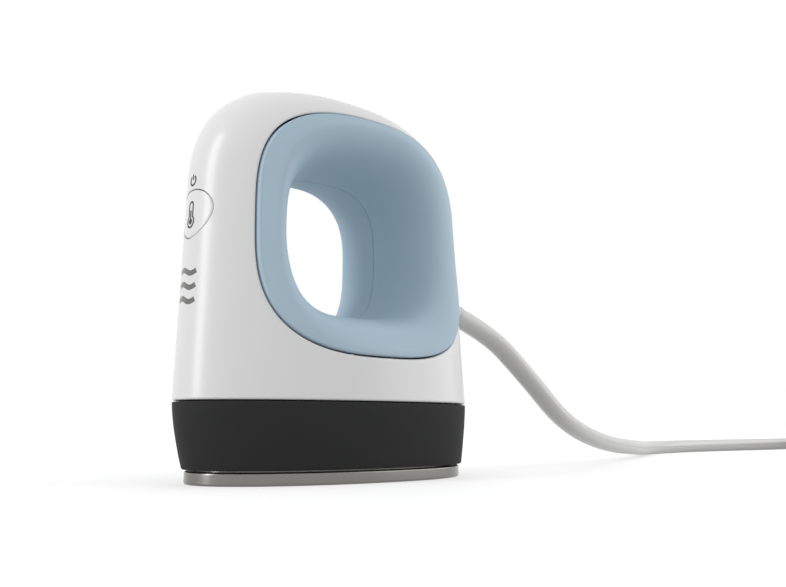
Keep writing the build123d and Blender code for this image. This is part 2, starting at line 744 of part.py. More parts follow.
# ---- button, switch and lights ----
button_body = body_solid(shell_wall + button_face)
rim_outer = body_solid(shell_wall + button_rim_clearance)
rim_inner = body_solid(shell_wall + button_rim_clearance + button_rim_thickness)
switch_front_x = board_front_x - switch_height
plunger_front_x = switch_front_x - button_travel - plunger_room
button_prism = nose_prism(button_face_outline(-button_gap))
button_rim = nose_prism(button_face_outline(button_rim_reach)) & (rim_outer - rim_inner)
button_stem_start = (body_extent(button_centre_z)[0] + shell_wall, 0, button_centre_z)
power_button = (button_prism & (outer_body - button_body)) + button_rim
power_button += rod(button_stem_start, (plunger_front_x, 0, button_centre_z), button_stem_diameter)
save("power_button", power_button)

plunger_back_x = switch_front_x + plunger_engagement
plunger_ends = [(x, 0, button_centre_z) for x in (plunger_front_x, plunger_back_x)]
save("switch_plunger", rod(*plunger_ends, switch_plunger_diameter))
half_switch = switch_size / 2
tact_switch = block((switch_front_x, -half_switch, button_centre_z - half_switch),
                    (board_front_x, half_switch, button_centre_z + half_switch))
bore_end = (plunger_back_x + button_travel + plunger_room, 0, button_centre_z)
bore_diameter = switch_plunger_diameter + 2 * plunger_running_clearance
tact_switch -= rod((switch_front_x, 0, button_centre_z), bore_end, bore_diameter)
save("tact_switch", tact_switch)

lens_seat = body_solid(shell_wall + contact_clearance)
lens_back = body_solid(shell_wall + lens_flange_thickness)
window_middle = (wave_levels[0] + wave_levels[-1]) / 2
flange_half_height = (wave_levels[0] - wave_levels[-1]) / 2 + wave_stroke + lens_flange_margin
flange_half_width = wave_half_width + lens_flange_margin
flange_window = block((prism_front_x, -flange_half_width, window_middle - flange_half_height),
                      (prism_back_x, flange_half_width, window_middle + flange_half_height))
wave_lens = flange_window & (lens_seat - lens_back)
for level in wave_levels:
    wave_lens += nose_prism(wave_outline(level, 0)) & (outer_body - lens_back)
save("wave_lens", wave_lens)

flange_back_x = body_extent(window_middle - flange_half_height)[0] + shell_wall + lens_flange_thickness
shroud_front_x = flange_back_x + shroud_setback
led_half_width = led_size[1] / 2
shroud_half_width = led_half_width + shroud_led_room + shroud_wall
level_pitch = wave_levels[0] - wave_levels[1]
shroud = block((shroud_front_x, -shroud_half_width, wave_levels[-1] - level_pitch / 2 - shroud_wall / 2),
               (board_front_x, shroud_half_width, wave_levels[0] + level_pitch / 2 + shroud_wall / 2))
for level in wave_levels:
    half_cell = (level_pitch - shroud_wall) / 2
    shroud -= block((shroud_front_x, shroud_wall - shroud_half_width, level - half_cell),
                    (board_front_x, shroud_half_width - shroud_wall, level + half_cell))
save("light_shroud", shroud)
save("indicator_leds", *[
    block((board_front_x - led_size[0], -led_half_width, level - led_size[2] / 2),
          (board_front_x, led_half_width, level + led_size[2] / 2))
    for level in wave_levels
])

# ---- circuit board and what is on its back ----
circuit_board = block((board_front_x, -board_width / 2, board_bottom),
                      (board_back_x, board_width / 2, board_top))
board_hole_diameter = board_screw_diameter + 2 * fit_clearance
for z in board_screw_levels:
    circuit_board -= rod((board_front_x, 0, z), (board_back_x, 0, z), board_hole_diameter)
save("circuit_board", circuit_board)
board_screw_tip_x = board_front_x - board_screw_depth
save("board_screws", *[
    screw((board_back_x, 0, z), (board_screw_tip_x, 0, z), board_screw_diameter - 2 * contact_clearance)
    for z in board_screw_levels
])


def on_board(depth, low_y, high_y, low_z, high_z):
    return block((board_back_x, low_y, low_z), (board_back_x + depth, high_y, high_z))


def board_block(size, centre_y, bottom):
    depth, width, height = size
    return on_board(depth, centre_y - width / 2, centre_y + width / 2, bottom, bottom + height)


terminal_bottom = board_screw_levels[0] + terminal_above_screw
socket_bottom = terminal_bottom + terminal_size[2] + socket_above_terminal
relay_bottom = socket_bottom + socket_size[2] + relay_above_socket
film_bottom = relay_bottom + relay_size[2] + film_above_relay
chip_bottom = film_bottom + film_size[2] + chip_above_film
electrolytic_z = relay_bottom + relay_size[2] / 2
electrolytic = rod((board_back_x, electrolytic_y, electrolytic_z),
                   (board_back_x + electrolytic_length, electrolytic_y, electrolytic_z), electrolytic_diameter)
save("terminal_block", board_block(terminal_size, 0, terminal_bottom))
save("sensor_socket", board_block(socket_size, 0, socket_bottom))
save("power_relay", board_block(relay_size, relay_centre_y, relay_bottom))
save("board_capacitors", board_block(film_size, 0, film_bottom), electrolytic)
save("control_chip", board_block(chip_size, 0, chip_bottom))

# ---- inner leads ----
lead_level = case_screw_seat_z + mains_lead_height
thin_level = skirt_top + thin_lead_height
fuse_lead_level = thin_level + fuse_above_sensor
mains_x, fuse_entry_x, heater_x = (board_back_x + depth for depth in (mains_entry, fuse_entry, heater_entry))
heater_leads = []
mains_leads = []
for side in (1, -1):
    pin_top = (element_front_x, side * element_leg_y, element_end_z + element_pin_length)
    heater_leads.append(wire([
        pin_top, (pin_top[0], pin_top[1], pin_top[2] + lead_rise),
        (heater_x, side * lead_y, terminal_bottom - lead_rise), (heater_x, side * lead_y, terminal_bottom),
    ], lead_diameter, lead_bend_radius))
    lead_bend = exit_point(-cord_inner_length - mains_lead_run, side * mains_lead_spread)
    mains_leads.append(wire([
        exit_point(-cord_inner_length, side * mains_lead_spread), lead_bend,
        (lead_bend[0], side * lead_y, lead_level),
        (mains_x, side * lead_y, lead_level), (mains_x, side * lead_y, terminal_bottom),
    ], lead_diameter, lead_bend_radius))
save("heater_leads", *heater_leads)
save("mains_leads", *mains_leads)

sensor_rise_x = board_back_x + sensor_rise
sensor_entry_z = socket_bottom + socket_size[2] / 2
save("sensor_leads", *[
    wire([
        (sensor_x, side * sensor_lead_y, sensor_top), (sensor_x, side * sensor_lead_y, thin_level),
        (sensor_rise_x, side * sensor_lead_y, thin_level),
        (sensor_rise_x, side * sensor_lead_y, sensor_entry_z),
        (board_back_x + socket_size[0], side * sensor_lead_y, sensor_entry_z),
    ], thin_lead_diameter, sensor_lead_bend_radius)
    for side in (1, -1)
])
fuse_leads = []
for side, rise_x, end_x in (
    (1, fuse_lead_places[0], fuse_start[0] + contact_clearance),
    (-1, fuse_lead_places[1], fuse_end[0] - contact_clearance),
):
    fuse_leads.append(wire([
        (end_x, 0, pad_top), (rise_x, 0, pad_top), (rise_x, 0, fuse_lead_level),
        (fuse_fan_x, side * fuse_lead_y, fuse_lead_level),
        (fuse_entry_x, side * fuse_lead_y, fuse_lead_level),
        (fuse_entry_x, side * fuse_lead_y, terminal_bottom),
    ], thin_lead_diameter, fuse_lead_bend_radius))
save("fuse_leads", *fuse_leads)

# ---- mains cord: tube to the coil, coil, tie, and tube to the plug ----
cord_start = exit_point(-cord_inner_length)
cord_route = [
    cord_start, exit_point(23.6), (81.0, -6.6, 30.2), (103.1, -4.5, 14.8), (146.2, 8.3, 7.0),
    (196.1, 24.7, 4.3), (232.0, 42.0, 3.25), (276.0, 47.0, 3.25), (318.0, 43.5, 3.25),
    (358.0, 36.0, 3.25), (397.0, 25.5, 3.25),
]
plug_route = [
    (384.0, -65.0, 8.6), (358.0, -64.5, 5.6), (334.0, plug_y, plug_thickness / 2),
    (plug_x + plug_neck_length, plug_y, plug_thickness / 2),
]


def cord_path(route):
    # Straight runs joined by tangent arcs, each as large as its two runs allow.
    points = [Vector(*point) for point in route]
    radii = []
    for before, corner, after in zip(points, points[1:], points[2:]):
        run_in, run_out = corner - before, after - corner
        turn = radians(run_in.get_angle(run_out))
        radii.append(0.45 * min(run_in.length, run_out.length) / tan(turn / 2))
    print("cord radii", [round(radius) for radius in radii])
    return FilletPolyline(*points, radius=radii)


def cord_tube(route):
    path = cord_path(route)
    tube = sweep(Plane(origin=path @ 0, z_dir=path % 0) * Circle(cord_radius), path=path)
    ideal = pi * cord_radius ** 2 * path.length
    print(f"cord length {path.length:.1f}, volume {tube.volume:.1f}, section times length {ideal:.1f}")
    return tube


save("power_cord", cord_tube(cord_route))
save("plug_lead", cord_tube(plug_route))

coil_place = Pos(coil_centre_x, coil_centre_y, coil_section_height / 2)


def coil_ring(grow):
    # Rounded ring round the coil's own Z axis, grown on every side.
    width, height = coil_section_width + 2 * grow, coil_section_height + 2 * grow
    rounded = RectangleRounded(width, height, coil_section_round + grow)
    section = Plane.XZ * Pos(coil_middle_diameter / 2, 0) * rounded
    return coil_place * revolve(section, axis=Axis.Z)


# The tie lies in the coil's outer shape, so that both rest on the table.
whole_coil = coil_ring(0)
tie_place = coil_place * Rot(0, 0, tie_angle) * Pos(coil_middle_diameter / 2, 0, 0)
tie_window = tie_place * Box(
    coil_section_width + 2 * cut_overrun,
    tie_width,
    coil_section_height + 2 * cut_overrun,
)
cord_tie = (whole_coil - coil_ring(-tie_thickness)) & tie_window
save("cord_coil", whole_coil - cord_tie)
save("cord_tie", cord_tie)

# ---- plug: its local Z runs from the rear face to the pins ----
plug_rear = Plane(origin=(plug_x, plug_y, plug_thickness / 2), x_dir=(0, 0, 1), z_dir=(-1, 0, 0))
plug_widths = (plug_rear_width, plug_shoulder_width, plug_width)
plug_stations = zip((0, plug_shoulder_share, 1), plug_widths, plug_rounds)
plug_body = loft([
    plug_rear.offset(plug_length * share) * RectangleRounded(plug_thickness, width, corner)
    for share, width, corner in plug_stations
])
neck_sections = [
    plug_rear.offset(-plug_neck_length) * Circle(plug_neck_start / 2),
    plug_rear.offset(cut_overrun) * Circle(plug_neck_end / 2),
]
save("plug_body", plug_body + loft(neck_sections))
pin_root_x = plug_x - plug_length
save("plug_pins", *[
    rod((pin_root_x, y, plug_thickness / 2), (pin_root_x - pin_length, y, plug_thickness / 2), pin_diameter)
    for y in (plug_y + pin_spacing / 2, plug_y - pin_spacing / 2)
])
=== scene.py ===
from math import asin, cos, degrees, pi, radians, sin

import bmesh
import bpy
import numpy as np
from mathutils import Matrix, Vector


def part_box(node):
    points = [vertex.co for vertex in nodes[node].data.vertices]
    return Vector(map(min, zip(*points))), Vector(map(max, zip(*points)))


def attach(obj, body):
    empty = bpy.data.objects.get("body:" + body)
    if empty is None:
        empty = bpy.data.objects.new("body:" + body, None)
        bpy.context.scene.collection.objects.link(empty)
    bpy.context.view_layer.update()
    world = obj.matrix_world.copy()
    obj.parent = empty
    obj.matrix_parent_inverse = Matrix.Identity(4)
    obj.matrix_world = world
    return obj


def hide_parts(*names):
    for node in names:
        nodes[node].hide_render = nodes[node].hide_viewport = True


# Mini handheld heat press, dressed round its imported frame. Sizes are in millimetres, objects in metres.
# X runs from the nose to the rear, Z is up, and the press is symmetric about Y = 0.
mm = 0.001
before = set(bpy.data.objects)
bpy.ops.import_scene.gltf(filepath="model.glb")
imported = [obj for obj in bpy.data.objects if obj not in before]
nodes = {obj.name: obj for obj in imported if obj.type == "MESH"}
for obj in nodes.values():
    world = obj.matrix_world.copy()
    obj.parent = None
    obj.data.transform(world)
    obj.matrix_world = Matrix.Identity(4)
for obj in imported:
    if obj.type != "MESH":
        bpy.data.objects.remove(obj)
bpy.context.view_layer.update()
print("frame loaded with", len(nodes), "nodes")


def boxOf(node):
    low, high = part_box(node)
    return np.array(low) / mm, np.array(high) / mm


shellLow, shellHigh = boxOf("main_shell")
skirtLow = boxOf("skirt")[0]
plateLow, plateHigh = boxOf("heat_plate")


class Wire:
    # one output socket; arithmetic on it adds Math nodes
    def __init__(self, graph, socket):
        self.graph = graph
        self.socket = socket

    def __add__(self, other):
        return self.graph.math("ADD", self, other)

    def __radd__(self, other):
        return self.graph.math("ADD", other, self)

    def __sub__(self, other):
        return self.graph.math("SUBTRACT", self, other)

    def __rsub__(self, other):
        return self.graph.math("SUBTRACT", other, self)

    def __mul__(self, other):
        return self.graph.math("MULTIPLY", self, other)

    def __truediv__(self, other):
        return self.graph.math("DIVIDE", self, other)

    def __rtruediv__(self, other):
        return self.graph.math("DIVIDE", other, self)

    def __pow__(self, other):
        return self.graph.math("POWER", self, other)

    def __gt__(self, other):
        return self.graph.math("GREATER_THAN", self, other)

    def __lt__(self, other):
        return self.graph.math("LESS_THAN", self, other)


class Graph:
    # adds nodes to one tree: a node's settings come first, then its sockets' values or links
    def __init__(self, tree):
        self.tree = tree

    def node(self, kind, settings=None, sockets=None, output=0):
        made = self.tree.nodes.new(kind)
        for name, value in (settings or {}).items():
            setattr(made, name, value)
        for key, value in (sockets or {}).items():
            self.feed(made.inputs[key], value)
        return Wire(self, made.outputs[output])

    def feed(self, socket, value):
        if isinstance(value, Wire):
            self.tree.links.new(value.socket, socket)
        else:
            socket.default_value = value

    def math(self, operation, *values):
        return self.node("ShaderNodeMath", {"operation": operation}, dict(enumerate(values)))

    def clamp(self, value):
        return self.math("MINIMUM", self.math("MAXIMUM", value, 0.0), 1.0)

    def blend(self, share, first, second):
        # colour mix; first and second are linear RGB triples or colour wires
        pair = [value if isinstance(value, Wire) else (*value, 1.0) for value in (first, second)]
        return self.node("ShaderNodeMix", {"data_type": "RGBA"}, {0: share, 6: pair[0], 7: pair[1]}, output=2)

    def noise(self, place, scale, detail=2.0):
        return self.node("ShaderNodeTexNoise", {}, {"Vector": place, "Scale": scale, "Detail": detail})


def startMaterial(name, roughness, metallic=0.0, coat=0.0, coatRoughness=0.03, specular=0.5):
    material = bpy.data.materials.new(name)
    material.use_nodes = True
    shader = material.node_tree.nodes["Principled BSDF"]
    levels = {"Roughness": roughness, "Metallic": metallic, "Coat Weight": coat,
              "Coat Roughness": coatRoughness, "Specular IOR Level": specular}
    for label, level in levels.items():
        shader.inputs[label].default_value = level
    graph = Graph(material.node_tree)
    place = graph.node("ShaderNodeTexCoord", output="Object")
    return material, graph, shader, place


def setBump(graph, shader, height, depth):
    bump = graph.node("ShaderNodeBump", {}, {"Height": height, "Distance": depth, "Strength": 1.0})
    graph.feed(shader.inputs["Normal"], bump)


def shades(colour, low, high):
    # a darker and a lighter shade of the colour, to blend between
    return tuple(value * low for value in colour), tuple(min(value * high, 1.0) for value in colour)


def mouldedPlastic(name, colour, roughness, grain=2600.0, depth=0.000004, drift=0.025, **shine):
    # spark-eroded mould grain in the relief and the gloss, and a faint drift of the colour
    material, graph, shader, place = startMaterial(name, roughness, **shine)
    fine = graph.noise(place, grain, 3.0)
    broad = graph.noise(place, 35.0, 2.0)
    graph.feed(shader.inputs["Base Color"], graph.blend(broad, *shades(colour, 1 - drift, 1 + drift)))
    graph.feed(shader.inputs["Roughness"], roughness + (fine - 0.5) * 0.12)
    setBump(graph, shader, fine, depth)
    return material


def softTouch(name, colour, roughness):
    # rubbery painted finish: very fine pebble, a little lighter where hands polish it
    material, graph, shader, place = startMaterial(name, roughness, specular=0.35)
    pebble = graph.noise(place, 4200.0, 2.0)
    cloud = graph.noise(place, 60.0, 3.0)
    graph.feed(shader.inputs["Base Color"], graph.blend(cloud, *shades(colour, 0.97, 1.03)))
    graph.feed(shader.inputs["Roughness"], roughness + (pebble - 0.5) * 0.1)
    setBump(graph, shader, pebble, 0.000006)
    return material


def satinMetal(name, colour, roughness, along=(30.0, 30.0, 1800.0), depth=0.000003):
    # drawn or ground metal: streaks along one direction, which the scales of place set
    material, graph, shader, place = startMaterial(name, roughness, metallic=1.0)
    stretched = graph.node("ShaderNodeMapping", {}, {"Vector": place, "Scale": along})
    streak = graph.noise(stretched, 1.0, 4.0)
    cloud = graph.noise(place, 90.0, 2.0)
    graph.feed(shader.inputs["Base Color"], graph.blend(streak, *shades(colour, 0.9, 1.06)))
    graph.feed(shader.inputs["Roughness"], roughness + (streak - 0.5) * 0.15 + (cloud - 0.5) * 0.06)
    setBump(graph, shader, streak, depth)
    return material


def fibreFelt(name, colour):
    material, graph, shader, place = startMaterial(name, 0.95, specular=0.1)
    matted = graph.noise(place, 900.0, 6.0)
    graph.feed(shader.inputs["Base Color"], graph.blend(matted, *shades(colour, 0.8, 1.0)))
    setBump(graph, shader, matted, 0.0002)
    return material


def boardGreen(name):
    # solder mask with faint copper tracks under it
    material, graph, shader, place = startMaterial(name, 0.35, specular=0.5)
    cells = {"feature": "DISTANCE_TO_EDGE"}
    tracks = graph.node("ShaderNodeTexVoronoi", cells, {"Vector": place, "Scale": 420.0}) < 0.06
    graph.feed(shader.inputs["Base Color"], graph.blend(tracks, (0.012, 0.10, 0.045), (0.03, 0.19, 0.09)))
    setBump(graph, shader, tracks, 0.00002)
    return material


def pinMetal(name, sleeveEnd):
    # nickel pins whose first part carries an insulating sleeve
    material, graph, shader, place = startMaterial(name, 0.28)
    x = graph.node("ShaderNodeSeparateXYZ", {}, {"Vector": place}, output="X")
    metal = x < sleeveEnd
    wear = graph.noise(place, 700.0, 3.0)
    nickel = graph.blend(wear, (0.55, 0.53, 0.49), (0.68, 0.66, 0.62))
    graph.feed(shader.inputs["Base Color"], graph.blend(metal, (0.70, 0.70, 0.69), nickel))
    graph.feed(shader.inputs["Metallic"], metal * 1.0)
    graph.feed(shader.inputs["Roughness"], 0.45 - metal * 0.2 + (wear - 0.5) * 0.1)
    return material


pinSleeve = 10.0  # insulated length of a plug pin, from the plug's face
sleeveEnd = (boxOf("plug_pins")[1][0] - pinSleeve) * mm
whiteShine = dict(depth=0.0000012, coat=0.25, coatRoughness=0.18)
finishes = {
    "shell_white": mouldedPlastic("shellWhite", (0.77, 0.77, 0.77), 0.30, **whiteShine),
    "button_white": mouldedPlastic("buttonWhite", (0.78, 0.78, 0.78), 0.30, **whiteShine),
    "grip_blue": softTouch("gripBlue", (0.425, 0.555, 0.650), 0.62),
    "skirt_charcoal": mouldedPlastic("skirtCharcoal", (0.028, 0.0283, 0.0285), 0.66, grain=1800.0,
                                     depth=0.000012, specular=0.10),
    "plate_metal": satinMetal("plateMetal", (0.215, 0.21, 0.20), 0.22),
    "element_steel": satinMetal("elementSteel", (0.36, 0.34, 0.31), 0.42),
    "ceramic": mouldedPlastic("standoffCeramic", (0.72, 0.70, 0.64), 0.5),
    "fuse_metal": satinMetal("fuseMetal", (0.66, 0.60, 0.48), 0.3),
    "sheet_steel": satinMetal("sheetSteel", (0.52, 0.52, 0.53), 0.38, along=(1800.0, 30.0, 30.0)),
    "screw_steel": satinMetal("screwSteel", (0.45, 0.45, 0.46), 0.3, along=(600.0, 600.0, 600.0)),
    "fibre_pad": fibreFelt("fibrePad", (0.66, 0.63, 0.55)),
    "inner_plastic": mouldedPlastic("innerPlastic", (0.10, 0.10, 0.105), 0.5),
    "component_black": mouldedPlastic("componentBlack", (0.02, 0.02, 0.021), 0.4),
    "lens_grey": mouldedPlastic("lensGrey", (0.125, 0.122, 0.115), 0.3, coat=0.3, coatRoughness=0.1),
    "led_clear": mouldedPlastic("ledClear", (0.75, 0.72, 0.60), 0.15, coat=0.6),
    "board_green": boardGreen("boardGreen"),
    "terminal_green": mouldedPlastic("terminalGreen", (0.03, 0.22, 0.10), 0.45),
    "capacitor_yellow": mouldedPlastic("capacitorYellow", (0.62, 0.42, 0.06), 0.4),
    "lead_white": mouldedPlastic("leadWhite", (0.70, 0.70, 0.68), 0.5),
    "lead_brown": mouldedPlastic("leadBrown", (0.16, 0.07, 0.03), 0.5),
    "cord_sheath": mouldedPlastic("cordSheath", (0.56, 0.555, 0.545), 0.34, grain=1500.0, depth=0.000006,
                                  coat=0.4, coatRoughness=0.14),
    "tie_strap": mouldedPlastic("tieStrap", (0.035, 0.035, 0.037), 0.8, grain=1300.0, depth=0.00008),
    "plug_white": mouldedPlastic("plugWhite", (0.72, 0.72, 0.71), 0.42),
    "pin_nickel": pinMetal("pinNickel", sleeveEnd),
}
inkDark = mouldedPlastic("inkDark", (0.018, 0.019, 0.020), 0.5, drift=0.1)
for node in nodes.values():
    for holder in node.material_slots:
        holder.material = finishes[holder.material.name.split(".")[0]]
print("finishes ready:", len(finishes))


def newObject(name, data):
    made = bpy.data.objects.new(name, data)
    bpy.context.scene.collection.objects.link(made)
    return made


def aimed(place, toward):
    # placement of a camera or a lamp that looks along toward
    return Matrix.Translation(Vector(place)) @ toward.to_track_quat("-Z", "Y").to_matrix().to_4x4()


def linkPiece(name, mesh, slot, body="root", sharp=35.0, material=None):
    # a finished mesh becomes a piece that rides on a body
    mesh.materials.clear()
    mesh.materials.append(material or finishes[slot])
    mesh.polygons.foreach_set("material_index", [0] * len(mesh.polygons))
    mesh.polygons.foreach_set("use_smooth", [True] * len(mesh.polygons))
    mesh.set_sharp_from_angle(angle=radians(sharp))
    piece = newObject(name, mesh)
    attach(piece, body)
    return piece


mergeReach = 0.002  # points closer than this are one point


def finishMesh(build, name):
    # doubles merged, faces and edges of no size removed, normals outwards
    bmesh.ops.remove_doubles(build, verts=build.verts, dist=mergeReach * mm)
    bmesh.ops.dissolve_degenerate(build, edges=build.edges, dist=mergeReach * 0.2 * mm)
    bmesh.ops.recalc_face_normals(build, faces=build.faces)
    mesh = bpy.data.meshes.new(name)
    build.to_mesh(mesh)
    build.free()
    return mesh


def addSkin(build, rows, closed=False, around=True, side=1):
    # rows are arrays of points, one point per column; columns close round, and rows close when asked
    grid = [[build.verts.new((p[0] * mm, p[1] * side * mm, p[2] * mm)) for p in row] for row in rows]
    rowCount, columnCount = len(grid), len(grid[0])
    for i in range(rowCount if closed else rowCount - 1):
        for j in range(columnCount if around else columnCount - 1):
            ahead, across = (i + 1) % rowCount, (j + 1) % columnCount
            build.faces.new((grid[i][j], grid[i][across], grid[ahead][across], grid[ahead][j]))


def ringMesh(rows, closed, mirrored=False):
    build = bmesh.new()
    for side in ((1, -1) if mirrored else (1,)):
        addSkin(build, rows, closed, side=side)
    return build


def startTree(name, sizes):
    # geometry tree with a named input for each size
    tree = bpy.data.node_groups.new(name, "GeometryNodeTree")
    tree.interface.new_socket("Geometry", in_out="INPUT", socket_type="NodeSocketGeometry")
    for label, size in sizes.items():
        kind = "NodeSocketInt" if isinstance(size, int) else "NodeSocketFloat"
        tree.interface.new_socket(label, in_out="INPUT", socket_type=kind)
    tree.interface.new_socket("Geometry", in_out="OUTPUT", socket_type="NodeSocketGeometry")
    graph = Graph(tree)
    entry = tree.nodes.new("NodeGroupInput")
    return graph, {socket.name: Wire(graph, socket) for socket in entry.outputs if socket.name}


def growMesh(name, start, graph, geometry, sizes, slot):
    # closes the tree, runs it on a starting mesh and keeps the result as a plain mesh
    near = {"Geometry": geometry, "Distance": mergeReach * mm}
    merged = graph.node("GeometryNodeMergeByDistance", {}, near)
    real = graph.node("GeometryNodeRealizeInstances", {}, {"Geometry": merged})
    dressed = graph.node("GeometryNodeSetMaterial", {}, {"Geometry": real, "Material": finishes[slot]})
    leave = graph.tree.nodes.new("NodeGroupOutput")
    graph.feed(leave.inputs["Geometry"], dressed)
    holder = newObject(name, start)
    grow = holder.modifiers.new("grow", "NODES")
    grow.node_group = graph.tree
    for socket in graph.tree.interface.items_tree:
        if socket.in_out == "INPUT" and socket.name in sizes:
            grow[socket.identifier] = sizes[socket.name]
    view = bpy.context.evaluated_depsgraph_get()
    grown = bpy.data.meshes.new_from_object(holder.evaluated_get(view))
    bpy.data.objects.remove(holder)
    build = bmesh.new()
    build.from_mesh(grown)
    return finishMesh(build, name)


def lineMesh(name, points):
    # open line of edges through points in millimetres
    mesh = bpy.data.meshes.new(name)
    places = [tuple(value * mm for value in point) for point in points]
    mesh.from_pydata(places, [(i, i + 1) for i in range(len(places) - 1)], [])
    return mesh


# the camera stands low at the nose's left and looks a little up
cameraPlace = dict(x=-135.8, y=-181.4, z=14.3, yaw=41.62, rise=9.31, lens=36.88)


def addCamera():
    data = bpy.data.cameras.new("viewCamera")
    data.lens = cameraPlace["lens"]
    data.clip_start = 0.01
    camera = newObject("viewCamera", data)
    yaw, rise = radians(cameraPlace["yaw"]), radians(cameraPlace["rise"])
    forward = Vector((sin(yaw) * cos(rise), cos(yaw) * cos(rise), sin(rise)))
    camera.matrix_world = aimed([cameraPlace[axis] * mm for axis in "xyz"], forward)
    bpy.context.scene.camera = camera


addCamera()
print("camera placed")

# outer form of the body: an egg-shaped plan that leans in with height and closes in a crown
body = dict(
    height=105.5, widestShare=0.6, nosePower=2.0, rearPower=2.4,
    noseLean=0.0296, rearLean=0.0825, sideLean=0.0281, crownX=-10.35,
    noseCrown=(74.4, 2.57), rearCrown=(73.4, 2.37), sideCrown=(83.4, 2.72), wall=2.0,
)


def crown(z, start, top, power):
    rise = np.clip((z - start) / (top - start), 0, 1)
    return (1 - rise ** power) ** (1 / power)


def bodyExtent(z, inset=0.0):
    # nose, rear and half width at height z, drawn in by inset
    top = body["height"] - inset
    climb = z - shellLow[2]
    nose = shellLow[0] + body["noseLean"] * climb + inset
    rear = shellHigh[0] - body["rearLean"] * climb - inset
    half = shellHigh[1] - body["sideLean"] * climb - inset
    over = {key: crown(z, body[key][0], top, body[key][1]) for key in ("noseCrown", "rearCrown", "sideCrown")}
    nose = body["crownX"] + (nose - body["crownX"]) * over["noseCrown"]
    rear = body["crownX"] + (rear - body["crownX"]) * over["rearCrown"]
    return nose, rear, half * over["sideCrown"]


# the mains cord: out of the rear, down to the table, into a tied coil and on to the plug
cord = dict(
    diameter=6.5, exitZ=53.0, tilt=12.9, innerLength=15.5, straightLength=23.6,
    holeRadius=4.75, holeFrom=-6.0, holeLength=12.0, firstPoints=16,
)
exitX = float(bodyExtent(np.float64(cord["exitZ"]))[1])


def exitPoint(along, across=0.0, above=0.0):
    # point in the frame of the cord's exit, whose first axis runs out along the cord
    tilt = radians(cord["tilt"])
    x = exitX + along * cos(tilt) + above * sin(tilt)
    return x, across, cord["exitZ"] - along * sin(tilt) + above * cos(tilt)


# free cord, coil and the run to the plug
leadPoints = [
    exitPoint(-cord["innerLength"]), exitPoint(cord["straightLength"]),
    (81.0, -6.6, 30.2), (103.1, -4.5, 14.8), (146.2, 8.3, 7.0), (196.1, 24.7, 4.3),
    (232.0, 42.0, 3.25), (276.0, 47.0, 3.25), (318.0, 43.5, 3.25), (358.0, 36.0, 3.25),
]
plugPoints = [
    (372.0, -65.5, 9.0), (356.0, -64.6, 6.2), (338.0, -54.0, 6.6), (326.0, -52.0, 6.9), (314.0, -52.0, 6.9),
]
coil = dict(
    centre=(393.0, -21.0), outerRadius=47.2, pitch=6.6, startAngle=80.0, turns=5.472, pointsPerTurn=14,
    lowerTurns=2.95, climbTurns=0.15, layerRise=1.01,
    tieAngle=60.0, lift=0.85, liftBase=2.718, liftSpread=40.0,
)


def coilPoint(turn):
    # wound clockwise: the lower layer winds inwards on the table, the upper one outwards on top of it
    angle = coil["startAngle"] - 360.0 * turn
    radius = coil["outerRadius"] - coil["pitch"] * min(turn, 2 * coil["lowerTurns"] - turn)
    climb = min(max((turn - coil["lowerTurns"] + coil["climbTurns"]) / coil["climbTurns"], 0), 1)
    layer = climb * climb * (3 - 2 * climb)
    # the strands are lifted a little where the tie passes under them
    fromTie = (angle - coil["tieAngle"] + 180.0) % 360.0 - 180.0
    lifted = coil["lift"] * coil["liftBase"] ** -((fromTie / coil["liftSpread"]) ** 2)
    z = cord["diameter"] * (0.5 + coil["layerRise"] * layer) + lifted
    turned = radians(angle)
    return coil["centre"][0] + radius * cos(turned), coil["centre"][1] + radius * sin(turned), z


coilSteps = round(coil["turns"] * coil["pointsPerTurn"])
coilPoints = [coilPoint(coil["turns"] * step / coilSteps) for step in range(coilSteps + 1)]


def routeCurve(name, points):
    data = bpy.data.curves.new(name, "CURVE")
    data.dimensions = "3D"
    spline = data.splines.new("NURBS")
    spline.points.add(len(points) - 1)
    for point, place in zip(spline.points, points):
        point.co = (*[value * mm for value in place], 1.0)
    spline.order_u = 3
    spline.use_endpoint_u = True
    spline.resolution_u = 8
    return newObject(name, data)


cordPiece = routeCurve("cordLead", leadPoints + coilPoints + plugPoints)
cordLine = bpy.data.meshes.new_from_object(cordPiece)  # the cord's middle line, before it gets its thickness
cordPiece.data.bevel_depth = cord["diameter"] / 2 * mm
cordPiece.data.bevel_resolution = 5
cordPiece.data.use_fill_caps = True
cordPiece.data.materials.append(finishes["cord_sheath"])

# strain relief: sleeve swept along the cord, with a flange behind the wall and shallow ribs outside;
# distances run along the cord from the wall
relief = {
    "Start": -8.3, "Flange From": -7.1, "Flange To": -4.5, "Taper From": 0.6, "Tip": 12.0,
    "Rib From": 3.0, "Rib To": 11.0, "Rib Pitch": 1.6, "Rib Depth": 0.16,
    "Hole Radius": 4.7, "Flange Radius": 6.3, "Tip Radius": 3.5, "Bore": 3.3, "Stations": 260, "Columns": 48,
}


